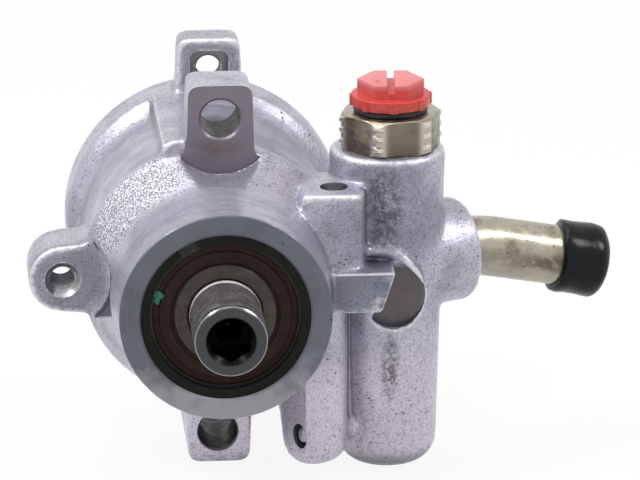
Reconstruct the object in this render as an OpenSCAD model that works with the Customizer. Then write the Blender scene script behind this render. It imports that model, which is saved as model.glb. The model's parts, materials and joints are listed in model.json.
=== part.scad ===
// Vane-type power steering pump with its shipping plug and tube cap, in millimetres.
// The origin is where the shaft axis meets the hub face. The shaft nose points to -Y and up is +Z.

/* [Drive shaft] */
// Diameter of the shaft where the pulley is pressed on
shaft_d = 17; // [15:0.5:18]
// How far the shaft nose stands out in front of the hub face
shaft_nose = 17.7; // [12:0.1:30]
// Bevel on the edge of the shaft nose
shaft_bevel = 0.5; // [0.2:0.1:1.2]
// Depth of the relief turned in the shaft in front of the bearing
shaft_relief = 0.3; // [0.1:0.05:0.6]
// Hexagon socket in the shaft nose, across flats
socket_af = 9.2; // [6:0.2:10]
// Depth of the hexagon socket
socket_depth = 11; // [5:0.5:14]
// Splined rear end of the shaft, outside diameter
spline_d = 14; // [12:0.5:15]
// Number of spline teeth
spline_teeth = 14; // [8:1:20]

/* [Front bearing] */
// Outside diameter of the bearing
bearing_od = 40; // [39:0.5:42]
// Width of the bearing
bearing_w = 12; // [11:0.5:14]
// Radial thickness of the inner race
inner_race_t = 3.75; // [3:0.25:4.25]
// Radial thickness of the outer race
outer_race_t = 3.5; // [3:0.25:4]
// Depth of the ball grooves in the races
race_groove_depth = 1.25; // [0.8:0.05:1.6]
// Number of bearing balls
ball_count = 8; // [6:1:9]
// Thickness of the bearing's retaining ring
front_ring_t = 1.5; // [1.2:0.1:2]
// Depth of that ring below the hub face
front_ring_depth = 0.8; // [0.5:0.1:3]

/* [Pump body] */
// Outside diameter of the hub
hub_d = 50; // [48:0.5:52]
// Outside diameter of the rounded shoulder behind the hub
shoulder_d = 64.4; // [62:0.2:66]
// Outside diameter of the smooth waist
waist_d = 60.8; // [60:0.2:62]
// Outside diameter of the rear rim
rim_d = 67.9; // [65:0.1:70]
// Width of the rear rim
rim_w = 11.8; // [9:0.1:13]
// Front wall of the pump chamber, measured from the hub face
chamber_y = 38; // [36:0.5:40]
// Diameter of the pump chamber
chamber_d = 55; // [54:0.25:56]
// How far the rear rim stands out behind the cover's retaining ring
rim_lip = 4.6; // [2:0.2:8]

/* [Pumping elements] */
// Thickness of the thrust plate
thrust_t = 7; // [5:0.5:9]
// Width of the cam ring
cam_w = 17; // [14:0.5:20]
// Thickness of the pressure plate
press_t = 10; // [8:0.5:12]
// Height of the spring behind the pressure plate
disc_spring_h = 4; // [3:0.25:5]
// Thickness of the end cover
cover_t = 6; // [5:0.5:8]
// Thickness of the end cover's retaining ring
cover_ring_t = 2; // [1.5:0.1:2.5]
// Thickness of the cam ring where its bore is smallest
cam_wall = 7.9; // [7:0.1:8.5]
// Rise of the cam from its small to its large radius
cam_rise = 2.2; // [1:0.1:2.4]
// Number of vanes
vane_count = 10; // [8:1:12]
// Thickness of a vane
vane_t = 1.8; // [1.4:0.1:2]
// Radial height of a vane
vane_h = 7; // [5:0.25:7.5]
// Diameter of the dowel pins
dowel_d = 3.2; // [2.5:0.1:3.6]

/* [Lugs and ears] */
// Height of the upper bolt hole above the shaft axis
bolt_reach = 38.6; // [38:0.1:42]
// Sideways shift of the upper bolt holes from the shaft axis
bolt_shift = 1; // [-2:0.1:2]
// Depth of the lower bolt hole below the shaft axis
lower_reach = 39.1; // [38:0.1:42]
// Sideways shift of the lower ear's metal from its bolt hole
lower_shift = 0.4; // [0:0.1:1]
// Length of the lower ear along the shaft
lower_t = 32; // [14:0.5:36]
// Width of the top lugs and the bottom ear
lug_w = 15.3; // [14:0.1:18]
// Metal above the bolt hole's axis
lug_rise = 8.2; // [7:0.1:10]
// Radius of the lug corners
lug_corner = 2.5; // [2:0.1:4.5]
// Machined front face of the lugs, from the hub face
lug_y = 33; // [31:0.5:35]
// Thickness of the lugs and ears
lug_t = 14.5; // [12:0.5:18]
// Diameter of the clearance bolt holes
bolt_hole_d = 9.4; // [8.4:0.1:10.4]
// Tapping diameter of the threaded holes
tap_hole_d = 6.8; // [5:0.1:8]
// Diameter of the spotface round the top hole
spotface_d = 27.2; // [24:0.2:28]
// Width of the slot that the spotface tool leaves in front of the top lug
slot_width = 19.6; // [16:0.2:24]
// Rise of the arched recess in the rear lug above its threaded hole
arch_rise = 1.2; // [0:0.1:1.2]
// Front face of the rear top lug
rear_lug_y = 74; // [70:0.5:76]
// Thickness of the rear top lug
rear_lug_t = 10; // [8:0.5:12]
// Distance from the shaft axis to the left ear's threaded hole
left_reach = 36.7; // [36:0.1:40]
// End radius of the left ear
left_ear_r = 8.1; // [7:0.1:9]

/* [Valve column] */
// Distance of the column's axis to the right of the shaft axis
col_x = 41.2; // [40:0.1:43]
// Distance of the column's axis behind the hub face
col_y = 40; // [38:0.25:42]
// Top face of the column
col_top = 29.3; // [28:0.1:34]
// Metal under the valve bore
col_floor = 8.4; // [6:0.1:12]
// Diameter of the column at its top
col_d = 27.7; // [26.6:0.1:29]
// Rounding of the column's lower edge
col_round = 6.5; // [2:0.25:7]
// Draft of the column, as the radius lost from top to foot
col_draft = 1.9; // [0:0.1:2]
// Shift of the valve bore from the column's cast axis
valve_shift = 0.8; // [0:0.1:1.2]
// Diameter of the valve bore
valve_d = 17; // [15:0.25:17.5]
// Length of the flow control spool
spool_len = 30; // [24:0.5:34]
// Travel of the flow control spool
spool_travel = 8; // [4:0.5:10]
// Wire diameter of the flow control spring
valve_wire_d = 1.6; // [1:0.1:2]
// Turns of the flow control spring
valve_coils = 6; // [4:1:7]
// What is left of the spring's travel when the spool is fully down
spring_slack = 6; // [3:0.25:8]

/* [Discharge fitting and plug] */
// Width of the fitting's hexagon, across flats
fitting_af = 22; // [20:0.25:23]
// Height of the fitting's hexagon
fitting_h = 8.7; // [6:0.1:12]
// Turn of the hexagon about its axis
fitting_turn = 11; // [0:0.5:60]
// Thread diameter of the fitting in the column
fitting_thread_d = 20; // [19:0.25:20.5]
// Length of the fitting's thread
fitting_thread_len = 15; // [12:0.5:18]
// Thread diameter of the plug in the fitting
plug_thread_d = 14.6; // [12:0.2:15]
// Length of the plug's thread
plug_thread_len = 8; // [6:0.5:10]
// Depth of the plug's thread, which is drawn plain at its root
plug_thread_depth = 0.8; // [0.4:0.1:0.9]
// Diameter of the plug's flange
plug_flange_d = 18.8; // [18:0.2:21]
// Thickness of the plug's flange
plug_flange_t = 2.6; // [1.5:0.1:4]
// Hexagon of the plug, across corners
plug_hex_d = 16; // [14:0.2:17.5]
// Height of the plug's hexagon
plug_hex_h = 3.6; // [3:0.1:7]
// Width of the screwdriver slot
plug_slot_w = 1.7; // [1:0.1:3]
// Depth of the screwdriver slot
plug_slot_depth = 1.9; // [1:0.1:2.8]
// Thickness of the plug's O-ring
plug_ring_t = 1.6; // [1.4:0.1:2.2]

/* [Return tube] */
// Direction of the return boss, turned from +X to the rear
port_az = 24; // [10:1:40]
// Height of the return boss axis
port_z = 0.8; // [-4:0.1:6]
// End face of the return boss, from the column's axis
port_reach = 19.7; // [17:0.1:26]
// Diameter of the return boss
port_d = 25; // [22:0.2:27]
// Outside diameter of the return tube
tube_d = 14.5; // [12:0.1:16]
// Wall of the return tube
tube_wall = 1.25; // [0.8:0.05:2]
// Bend radius of the return tube
tube_bend_r = 30; // [20:1:60]
// Bend angle of the return tube
tube_bend = 19.5; // [5:0.5:45]
// Roll of the bend about the boss axis
tube_roll = 38; // [0:1:90]
// Straight length after the bend
tube_straight = 25.5; // [22:0.1:50]
// Depth to which the tube is pressed in
tube_seat = 8; // [5:0.5:10]
// Length of the vinyl cap
cap_len = 12.2; // [10:0.2:20]
// Wall of the vinyl cap
cap_wall = 1.5; // [0.8:0.1:2.5]

/* [Bosses] */
// Diameter of the upright boss beside the column
boss_d = 16; // [14:0.2:17]
// Top face of the upright boss
boss_top = 22.9; // [16:0.1:26]
// Diameter of the hole in the upright boss
boss_hole_d = 6; // [4:0.1:7]
// Diameter of the round pocket in the column's front
pocket_d = 15.2; // [12:0.1:16]
// Diameter of the cross-drilled passage
passage_d = 6; // [4:0.1:7]
// Metal under the cross-drilled passage
web_foot = 4.4; // [3:0.1:6]

/* [Fits] */
// Radial gap of pieces that are pressed or seated together
seat_gap = 0.02; // [0.01:0.01:0.04]
// Radial gap of pieces that turn or slide
run_gap = 0.05; // [0.03:0.01:0.08]

/* [Hidden] */
$fn = 64;

eps = 0.5;
shaft_r = shaft_d / 2;
hub_r = hub_d / 2;
hub_bevel = 0.4;
bearing_r = bearing_od / 2;
bearing_y = front_ring_depth + front_ring_t;
bearing_end = bearing_y + bearing_w;
inner_land_d = shaft_d + 2 * inner_race_t;
outer_land_d = bearing_od - 2 * outer_race_t;
ball_d = (outer_land_d - inner_land_d) / 2 + 2 * race_groove_depth;
ball_r = ball_d / 2;
pitch_r = (inner_land_d + outer_land_d) / 4;
race_groove_r = ball_r + run_gap;
bearing_mid = bearing_y + bearing_w / 2;
front_groove_r = bearing_r + 1.2;

// Shaft seal behind the bearing
seal_r = shaft_r + 6.5;
seal_w = 7;
seal_y = bearing_end + 2.5;
shaft_pass_r = shaft_r + 0.8;

// Stack in the pump chamber, from its front wall to the retaining ring
chamber_r = chamber_d / 2;
cam_y = chamber_y + thrust_t;
press_y = cam_y + cam_w;
disc_spring_y = press_y + press_t;
cover_y = disc_spring_y + disc_spring_h;
cover_ring_y = cover_y + cover_t;
body_end = cover_ring_y + cover_ring_t + rim_lip;
rim_y = body_end - rim_w;
cover_groove_r = chamber_r + 1.7;
stack_r = chamber_r - seat_gap;
rotor_gap = 0.06;
cam_small_r = chamber_r - cam_wall;
rotor_r = cam_small_r - 0.5;
vane_tip_r = rotor_r + 0.25;
vane_foot_r = vane_tip_r - vane_h;
dowel_r = (cam_small_r + chamber_r) / 2 + 1;
spline_r = spline_d / 2;
spline_root_r = spline_r - 0.9;
clip_t = 1.2;
shaft_end = press_y + clip_t + 4.5;
clip_y = press_y + 0.3;
clip_r = spline_r + 2;

// O-rings round the pressure plate and the end cover
ring_wire_r = 1.2;
ring_groove_w = 3;
ring_centre_r = chamber_r - ring_wire_r - run_gap;
ring_groove_r = ring_centre_r - ring_wire_r - run_gap;
press_ring_y = press_y + press_t / 2;
dowel_end = press_ring_y - ring_groove_w / 2 - 0.6;
cover_ring_mid_y = cover_y + cover_t / 2 - 0.5;

// Valve column, from its top down
col_r = col_d / 2;
col_foot_r = col_r - col_draft;
valve_x = col_x + valve_shift;
valve_r = valve_d / 2;
fitting_thread_r = fitting_thread_d / 2;
fitting_foot = col_top - fitting_thread_len;
fitting_top = col_top + fitting_h;
fitting_wire_r = 1;
fitting_neck_r = fitting_thread_r - 1.2;
fitting_ring_r = fitting_neck_r + fitting_wire_r + run_gap;
fitting_sink_r = fitting_ring_r + fitting_wire_r + run_gap;
fitting_sink = 2 * fitting_wire_r + 0.2;
spool_top = fitting_foot - run_gap;
spool_foot = spool_top - spool_len;
spool_r = valve_r - run_gap;
valve_floor = spool_foot - spool_travel - (valve_coils + 1) * valve_wire_d - spring_slack;
valve_depth = col_top - valve_floor;
col_bottom = valve_floor - col_floor;
valve_coil_r = valve_r - valve_wire_d / 2 - 1;

// Plug, seated on its O-ring
plug_thread_r = plug_thread_d / 2;
plug_root_r = plug_thread_r - plug_thread_depth;
plug_foot = fitting_top - plug_thread_len;
plug_flange_z = fitting_top + plug_ring_t;
plug_hex_z = plug_flange_z + plug_flange_t;
plug_top = plug_hex_z + plug_hex_h;
plug_wire_r = plug_ring_t / 2;
plug_ring_r = plug_thread_r + plug_wire_r + run_gap;

// Return tube and cap
tube_r = tube_d / 2;
tube_bore_r = tube_r - tube_wall;
cap_bore_r = tube_r + run_gap;
cap_r = cap_bore_r + cap_wall;
cap_end = tube_straight + run_gap + cap_wall;

// Bosses between the hub and the column
boss_r = boss_d / 2;
boss_x = col_x - col_r + 0.1;
boss_y = col_y - 12;
facet_y = col_y - 21.8;
facet_top = 4.2;
facet_right = boss_x + 14.2;
pocket_x = col_x + 0.8;
pocket_z = -5.1;
pocket_y = col_y - 9.5;
web_x = col_x - 20.5;
web_y = col_y - 18;
passage_x = web_x - 1.1;
passage_y = web_y + 3.6;
passage_z = valve_floor + passage_d / 2 - 0.5;
web_bottom = passage_z - passage_d / 2 - web_foot;
passage_az = atan2(col_y - passage_y, valve_x - passage_x);
left_z = -0.3;

// Points of a round stretch of an outline
function arc(c, r, a0, a1, n = 8) =
  [for (i = [0 : n]) c + r * [cos(a0 + (a1 - a0) * i / n), sin(a0 + (a1 - a0) * i / n)]];

// Radius of the cam at an angle, largest above and below the shaft
function cam_at(a) = cam_small_r + cam_rise * (1 - cos(2 * a)) / 2;

// Turns a shape that stands on Z so that it runs to the rear from y
module rearward(y = 0) translate([0, y, 0]) rotate([-90, 0, 0]) children();

// A disc or ring round the shaft axis
module ring_y(y, t, r, bore = 0) {
  rearward(y) difference() {
    cylinder(r = r, h = t);
    if (bore > 0) translate([0, 0, -eps]) cylinder(r = bore, h = t + 2 * eps);
  }
}

// A drilled hole that runs to the rear
module drill_y(x, z, d, y0, y1) translate([x, y0, z]) rotate([-90, 0, 0]) cylinder(d = d, h = y1 - y0);

// An outline in X and Z made into a plate from y0 to y1
module plate_y(y0, y1) translate([0, y1, 0]) rotate([90, 0, 0]) linear_extrude(y1 - y0) children();

// A ring of round wire about the shaft axis
module wire_ring_y(y, r, wire_r) rearward(y) rotate_extrude() translate([r, 0]) circle(wire_r);

// A flat open ring about the shaft axis, with the gap at an angle in the X and Z plane
module open_ring_y(y, t, r, bore, gap_at, gap_w) {
  difference() {
    ring_y(y, t, r, bore);
    rotate([0, -gap_at, 0]) translate([0, y - eps, -gap_w / 2]) cube([r + 1, t + 2 * eps, gap_w]);
  }
}

// A straight coil of round wire that stands on z0
module coil(r, wire_r, turns, z0, z1, steps = 20, sides = 8) {
  n = turns * steps;
  rise = z1 - z0 - 2 * wire_r;
  points = [
    for (i = [0 : n], j = [0 : sides - 1])
      let (a = 360 * i / steps, b = 360 * j / sides, q = r + wire_r * cos(b))
        [q * cos(a), q * sin(a), z0 + wire_r + rise * i / n + wire_r * sin(b)]
  ];
  wall = [
    for (i = [0 : n - 1], j = [0 : sides - 1])
      let (k = (j + 1) % sides) [i * sides + j, i * sides + k, (i + 1) * sides + k, (i + 1) * sides + j]
  ];
  ends = [[for (j = [sides - 1 : -1 : 0]) j], [for (j = [0 : sides - 1]) n * sides + j]];
  polyhedron(points, concat(wall, ends));
}

// Places a shape at the end of the return boss, with +X pointing out of it
module at_port() {
  translate([col_x, col_y, port_z]) rotate([0, 0, port_az]) translate([port_reach, 0, 0])
    rotate([tube_roll, 0, 0]) children();
}

// Places a shape at the end of the tube's bend, with +X along the last straight
module after_bend() {
  at_port() translate([0, -tube_bend_r, 0]) rotate([0, 0, -tube_bend])
    translate([0, tube_bend_r, 0]) children();
}

// Outline of a lug: straight sides and two rounded outer corners
module lug_outline(reach, rise, w, root) {
  top = reach + rise;
  polygon(concat(
    [[-w / 2 - 1, root], [w / 2 + 1, root]],
    arc([w / 2 - lug_corner, top - lug_corner], lug_corner, 0, 90, 6),
    arc([lug_corner - w / 2, top - lug_corner], lug_corner, 90, 180, 6)
  ));
}

// Turned outline of the pump body: hub, flare, shoulder, waist, cove and rear rim
module body_casting() {
  waist_r = waist_d / 2;
  shoulder_r = shoulder_d / 2;
  rim_r = rim_d / 2;
  shoulder_y = chamber_y - 2;
  cove_h = rim_r - waist_r - 0.3;
  cove_l = 5.2;
  cove_r = (cove_h * cove_h + cove_l * cove_l) / (2 * cove_h);
  rearward() rotate_extrude() polygon(concat(
    [[0, 0], [hub_r - hub_bevel, 0], [hub_r, hub_bevel], [hub_r, 6], [hub_r + 0.5, 12]],
    [[hub_r + 1.6, shoulder_y - 15], [hub_r + 3.6, shoulder_y - 9]],
    arc([shoulder_r - 4, shoulder_y], 4, -40, 55, 8),
    [[waist_r, chamber_y + 2.5]],
    arc([waist_r + cove_r, rim_y - cove_l], cove_r, 180, 180 - asin(cove_l / cove_r), 8),
    arc([rim_r - 1, rim_y + 1], 1, -40, 0, 4),
    arc([rim_r - 1, body_end - 1], 1, 0, 90, 4),
    [[0, body_end]]
  ));
}

// Top lugs, the rib that links them and the lower ear
module lug_casting() {
  rib_w = 6;
  rib_top = bolt_reach - 5.2;
  translate([bolt_shift, 0, 0]) {
    plate_y(lug_y - 1.5, lug_y + lug_t) lug_outline(bolt_reach, lug_rise, lug_w, 20);
    plate_y(rear_lug_y, rear_lug_y + rear_lug_t) lug_outline(bolt_reach, lug_rise, lug_w, 20);
    plate_y(lug_y + 0.5, rear_lug_y + rear_lug_t - 2) polygon([
      [-lug_w / 2 - rib_w, 20], [-lug_w / 2 + 2, 20], [-lug_w / 2 + 2, rib_top], [-lug_w / 2 - rib_w + 2.2, rib_top],
      [-lug_w / 2 - rib_w + 1.6, rib_top - 0.7], [-lug_w / 2 - rib_w, rib_top - 1]
    ]);
  }
  translate([lower_shift, 0, 0]) plate_y(lug_y - 0.5, lug_y + lower_t)
    mirror([0, 1]) lug_outline(lower_reach, lug_rise - 0.3, lug_w - 0.4, 20);
}

// Left ear with its rounded end
module left_ear_casting() {
  plate_y(lug_y - 1.5, lug_y + lug_t + 1.5) polygon(concat(
    [[-22, left_z - left_ear_r - 1.4]],
    [[4 - left_reach, left_z - left_ear_r - 0.4]],
    arc([-left_reach, left_z], left_ear_r, 270, 90, 16),
    [[4 - left_reach, left_z + left_ear_r + 0.4], [-22, left_z + left_ear_r + 3]]
  ));
}

// Valve column with a rounded foot and the pocket in its front
module column_casting() {
  difference() {
    union() {
      translate([col_x, col_y, 0]) rotate_extrude() polygon(concat(
        [[0, col_bottom]],
        arc([col_foot_r - col_round, col_bottom + col_round], col_round, 270, 360, 8),
        [[col_r, col_top - 0.8], [col_r - 0.8, col_top], [0, col_top]]
      ));
      ridge = [for (p = [[-7.6, 13.4], [-2, 13.3], [1.2, 12.1], [4, 9.7], [6.2, 6.5], [7.4, 3.1], [6.4, 3.1],
                         [5, 5.9], [2.6, 8.5], [0.2, 10.1], [-2.4, 11], [-7.6, 11.3]]) p + [pocket_x, pocket_z]];
      plate_y(col_y - 14.6, col_y) polygon(ridge);
    }
    plate_y(facet_y - eps, pocket_y) intersection() {
      translate([pocket_x, pocket_z]) circle(d = pocket_d);
      polygon([[facet_right, facet_top], [facet_right - 0.34 * 21, facet_top - 21], [90, facet_top - 21], [90, facet_top]]);
    }
  }
  translate([col_x, col_y, port_z]) rotate([0, 0, port_az]) rotate([0, 90, 0])
    rotate_extrude() polygon([
      [0, 0], [port_d / 2, 0], [port_d / 2, port_reach - 0.6], [port_d / 2 - 0.6, port_reach], [0, port_reach]
    ]);
}

// Bridge to the column, upright boss, faceted block and passage web
module web_casting() {
  back_y = col_y + 16;
  foot_z = col_bottom + 9.7;
  translate([0, 0, foot_z]) linear_extrude(boss_top - 3.8 - foot_z) polygon([
    [15.8, col_y - 6], [col_x - 12, col_y - 7], [col_x, col_y - 4], [col_x, col_y + 8], [col_x - 6, col_y + 12], [15.8, back_y]
  ]);
  boss_right = boss_x + boss_r - 0.8;
  translate([0, 0, -2]) linear_extrude(boss_top + 2) polygon(concat(
    [[boss_x - boss_r, boss_y - boss_r]],
    arc([boss_right - 4.5, boss_y - boss_r + 4.5], 4.5, 270, 360, 8),
    [[boss_right, boss_y + boss_r + 4], [boss_x - boss_r, boss_y + boss_r + 4]]
  ));
  plate_y(facet_y, col_y) polygon([
    [boss_x - 6, facet_top], [facet_right, facet_top], [facet_right - 3.4, facet_top - 10], [boss_x + 1.8, facet_top - 10],
    [boss_x - 6, facet_top - 5.6]
  ]);
  translate([0, 0, foot_z]) linear_extrude(-foot_z) web_outline();
  round_r = foot_z - web_bottom;
  intersection() {
    translate([0, 0, web_bottom]) linear_extrude(round_r) web_outline();
    translate([web_x + 1.9, web_y + 7.6, foot_z]) rotate_extrude()
      polygon(concat([[0, 0], [0, -round_r]], arc([8.7 - round_r, 0], round_r, 270, 360, 10)));
  }
}

// Plan of the passage web, with a slanted face for the plugged hole
module web_outline() {
  polygon(concat(
    [[web_x - 5.2, web_y + 11.6], [web_x, web_y]],
    arc([web_x + 3.6, web_y + 6.5], 6.5, 270, 360, 8),
    [[web_x + 10.5, col_y], [web_x - 5.2, col_y]]
  ));
}

// Everything that is bored, faced or drilled in the casting
module housing_cuts() {
  ring_y(-eps, bearing_end + eps, bearing_r);
  rearward(-eps) cylinder(r1 = bearing_r + 0.4 + eps, r2 = bearing_r, h = 0.4 + eps);
  ring_y(front_ring_depth, front_ring_t, front_groove_r);
  ring_y(bearing_end - eps, seal_y + seal_w - bearing_end + eps, seal_r);
  ring_y(bearing_end, chamber_y - bearing_end + eps, shaft_pass_r);
  ring_y(chamber_y, body_end - chamber_y + eps, chamber_r);
  ring_y(cover_ring_y, cover_ring_t + 0.05, cover_groove_r);
  translate([bolt_shift, 0, 0]) {
    intersection() {
      drill_y(0, bolt_reach, spotface_d, lug_y - 13, lug_y);
      translate([-slot_width / 2, lug_y - 14, 0]) cube([slot_width, 15, bolt_reach + spotface_d]);
    }
    drill_y(0, bolt_reach, bolt_hole_d, lug_y - 4, lug_y + lug_t + eps);
    drill_y(0, bolt_reach + arch_rise, bolt_hole_d, rear_lug_y - eps, rear_lug_y + 4);
    drill_y(0, bolt_reach, tap_hole_d, rear_lug_y, rear_lug_y + rear_lug_t + eps);
  }
  drill_y(0, -lower_reach, bolt_hole_d, lug_y - 4, lug_y + lower_t + eps);
  drill_y(-left_reach, left_z, 24, lug_y - 13, lug_y);
  drill_y(-left_reach, left_z, tap_hole_d, lug_y - 4, lug_y + lug_t + 2);
  translate([-left_reach, lug_y - eps, left_z]) rotate([-90, 0, 0])
    cylinder(d1 = tap_hole_d + 1.8 + 2 * eps, d2 = tap_hole_d, h = 0.9 + eps);
  translate([valve_x, col_y, 0]) {
    translate([0, 0, valve_floor]) cylinder(r = valve_r, h = valve_depth + eps);
    translate([0, 0, fitting_foot - 1]) cylinder(r = fitting_thread_r + seat_gap, h = fitting_thread_len + 1 + eps);
    translate([0, 0, col_top - fitting_sink]) cylinder(r = fitting_sink_r, h = fitting_sink + eps);
  }
  translate([col_x, col_y, port_z]) rotate([0, 0, port_az]) rotate([0, 90, 0]) {
    cylinder(r = tube_bore_r, h = port_reach);
    translate([0, 0, port_reach - tube_seat]) cylinder(r = tube_r + seat_gap, h = tube_seat + eps);
  }
  translate([col_x, chamber_y + thrust_t / 2, port_z]) rotate([0, -90, 0]) cylinder(d = thrust_t - 1, h = col_x - 20);
  translate([boss_x, boss_y, boss_top - 12]) cylinder(d = boss_hole_d, h = 12 + eps);
  translate([passage_x, passage_y, passage_z]) rotate([0, 0, passage_az]) rotate([0, 90, 0])
    translate([0, 0, -4]) cylinder(d = passage_d, h = 26);
}

module housing() {
  color("lightgray") difference() {
    union() {
      body_casting();
      lug_casting();
      left_ear_casting();
      column_casting();
      web_casting();
    }
    housing_cuts();
  }
}

// Teeth of the shaft's spline; gap widens the whole outline
module spline_outline(gap = 0) {
  circle(r = spline_root_r + gap);
  tooth = 360 / spline_teeth / 4;
  for (i = [0 : spline_teeth - 1]) rotate(i * 360 / spline_teeth) polygon([
    [0, 0],
    (spline_r + gap) * [cos(tooth), -sin(tooth)] + gap * [0, -1],
    (spline_r + gap) * [cos(tooth), sin(tooth)] + gap * [0, 1]
  ]);
}

module drive_shaft() {
  spline_y = cam_y - 3;
  color("dimgray") difference() {
    union() {
      rearward() rotate_extrude() polygon([
        [0, -shaft_nose], [shaft_r - shaft_bevel, -shaft_nose], [shaft_r, shaft_bevel - shaft_nose],
        [shaft_r, bearing_y - 1.7], [shaft_r - shaft_relief, bearing_y - 1.7], [shaft_r - shaft_relief, bearing_y],
        [shaft_r, bearing_y], [shaft_r, spline_y], [spline_root_r, spline_y + 1], [0, spline_y + 1]
      ]);
      rearward(spline_y) linear_extrude(shaft_end - spline_y) spline_outline();
    }
    rearward(-shaft_nose - eps) cylinder(d1 = socket_af * 1.26 + 2 * eps, d2 = socket_af, h = 1.2 + eps);
    rearward(-shaft_nose - eps) rotate(30) cylinder(d = socket_af / cos(30), h = socket_depth + eps, $fn = 6);
    rearward(socket_depth - shaft_nose - 0.01) cylinder(d1 = socket_af * 0.8, d2 = 1, h = 2.5);
    ring_y(clip_y, clip_t + 0.1, clip_r + 1, spline_root_r - 0.6);
  }
}

// A race with its ball groove and, on the outer race, the seats of the seals
module bearing_outer_race() {
  color("silver") difference() {
    ring_y(bearing_y, bearing_w, bearing_r - seat_gap, outer_land_d / 2);
    wire_ring_y(bearing_mid, pitch_r, race_groove_r);
    for (y = [bearing_y - eps, bearing_end - 1.2]) ring_y(y, 1.2 + eps, outer_land_d / 2 + 0.7);
  }
}

module bearing_inner_race() {
  color("gray") difference() {
    rearward(bearing_y) rotate_extrude() polygon([
      [shaft_r + seat_gap, 0.6], [shaft_r + 0.6, 0], [inner_land_d / 2 - 0.4, 0], [inner_land_d / 2, 0.4],
      [inner_land_d / 2, bearing_w - 0.4], [inner_land_d / 2 - 0.4, bearing_w], [shaft_r + 0.6, bearing_w],
      [shaft_r + seat_gap, bearing_w - 0.6]
    ]);
    wire_ring_y(bearing_mid, pitch_r, race_groove_r);
  }
}

// Repeats a shape at each ball of the bearing
module at_balls() {
  for (i = [0 : ball_count - 1]) rotate([0, i * 360 / ball_count, 0]) translate([pitch_r, bearing_mid, 0]) children();
}

module bearing_balls() {
  color("silver") at_balls() sphere(ball_r);
}

module bearing_cage() {
  cage_w = ball_d + 1.2;
  color("goldenrod") difference() {
    ring_y(bearing_mid - cage_w / 2, cage_w, pitch_r + 0.8, pitch_r - 0.8);
    at_balls() rotate([0, 90, 0]) cylinder(r = ball_r + 0.1, h = 4, center = true);
  }
}

module bearing_seals() {
  color("saddlebrown") for (y = [bearing_y + 0.3, bearing_end - 1.2])
    ring_y(y, 0.9, outer_land_d / 2 + 0.7 - seat_gap, inner_land_d / 2 + run_gap);
}

// Open ring with its gap at the upper left
module bearing_retaining_ring() {
  bore = bearing_r - 2.2;
  color("darkslategray") open_ring_y(front_ring_depth, front_ring_t, front_groove_r - 0.1, bore, 118, 5);
}

module shaft_seal() {
  lip_r = shaft_r + run_gap;
  color("black") rearward(seal_y) rotate_extrude() polygon([
    [seal_r - seat_gap, 0], [seal_r - seat_gap, seal_w], [seal_r - 1.2, seal_w], [seal_r - 1.2, 1.2],
    [lip_r + 1.8, 1.2], [lip_r + 1, seal_w * 0.6], [lip_r, seal_w * 0.55], [lip_r + 0.6, 0]
  ]);
}

// Pair of kidney ports at the angles where the cam rises or falls
module kidney_ports(y, t, at) {
  for (a = [at, at + 180]) rotate([0, a, 0]) for (b = [-14 : 7 : 14])
    rotate([0, b, 0]) drill_y(rotor_r - 2.2, 0, 4, y, y + t);
}

// Holes of the two dowel pins
module dowel_holes(y, t) {
  for (s = [-1, 1]) drill_y(s * dowel_r, 0, dowel_d + 2 * seat_gap, y, y + t);
}

module thrust_plate() {
  color("slategray") difference() {
    ring_y(chamber_y, thrust_t, stack_r, shaft_r + run_gap);
    kidney_ports(chamber_y - eps, thrust_t + 2 * eps, 45);
    dowel_holes(chamber_y + 2, thrust_t);
  }
}

module cam_ring() {
  color("lightslategray") difference() {
    plate_y(cam_y, press_y) difference() {
      circle(r = stack_r);
      polygon([for (i = [0 : 95]) cam_at(i * 3.75) * [cos(i * 3.75), sin(i * 3.75)]]);
    }
    dowel_holes(cam_y - eps, cam_w + 2 * eps);
  }
}

module rotor() {
  slot_w = vane_t + 2 * run_gap;
  color("darkgray") difference() {
    ring_y(cam_y + rotor_gap, cam_w - 2 * rotor_gap, rotor_r);
    rearward(cam_y - eps) linear_extrude(cam_w + 2 * eps) spline_outline(run_gap);
    for (i = [0 : vane_count - 1]) rotate([0, (i + 0.5) * 360 / vane_count, 0]) {
      translate([vane_foot_r - run_gap, cam_y - eps, -slot_w / 2]) cube([vane_h + 2, cam_w + 2 * eps, slot_w]);
      drill_y(vane_foot_r - run_gap, 0, slot_w + 0.8, cam_y - eps, press_y + eps);
    }
  }
}

module vanes() {
  edge_r = vane_t / 2;
  color("gainsboro") for (i = [0 : vane_count - 1]) rotate([0, (i + 0.5) * 360 / vane_count, 0])
    plate_y(cam_y + rotor_gap, press_y - rotor_gap) polygon(concat(
      [[vane_foot_r, edge_r], [vane_foot_r, -edge_r]], arc([vane_tip_r - edge_r, 0], edge_r, -90, 90, 8)
    ));
}

module rotor_retaining_ring() {
  color("dimgray") open_ring_y(clip_y, clip_t, clip_r, spline_root_r - 0.5, 270, 8);
}

module pressure_plate() {
  color("slategray") difference() {
    ring_y(press_y, press_t, stack_r);
    ring_y(press_y - eps, clip_t + 0.6 + eps, clip_r + 0.5);
    ring_y(press_y - eps, shaft_end - press_y + 0.5 + eps, spline_r + run_gap);
    kidney_ports(press_y - eps, press_t + 2 * eps, -45);
    dowel_holes(press_y - eps, dowel_end + 0.3 - press_y + eps);
    ring_y(press_ring_y - ring_groove_w / 2, ring_groove_w, chamber_r + 1, ring_groove_r);
  }
}

module pressure_plate_o_ring() {
  color("black") wire_ring_y(press_ring_y, ring_centre_r, ring_wire_r);
}

// Coned disc spring that holds the pressure plate against the cam ring
module pressure_spring() {
  t = 1.2;
  r1 = clip_r + 1;
  r2 = rotor_r + 2;
  color("gray") rearward(disc_spring_y) rotate_extrude() polygon([
    [r1, disc_spring_h - t], [r2 - 1, 0], [r2, 0], [r2, t], [r1 + 1, disc_spring_h], [r1, disc_spring_h]
  ]);
}

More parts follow.
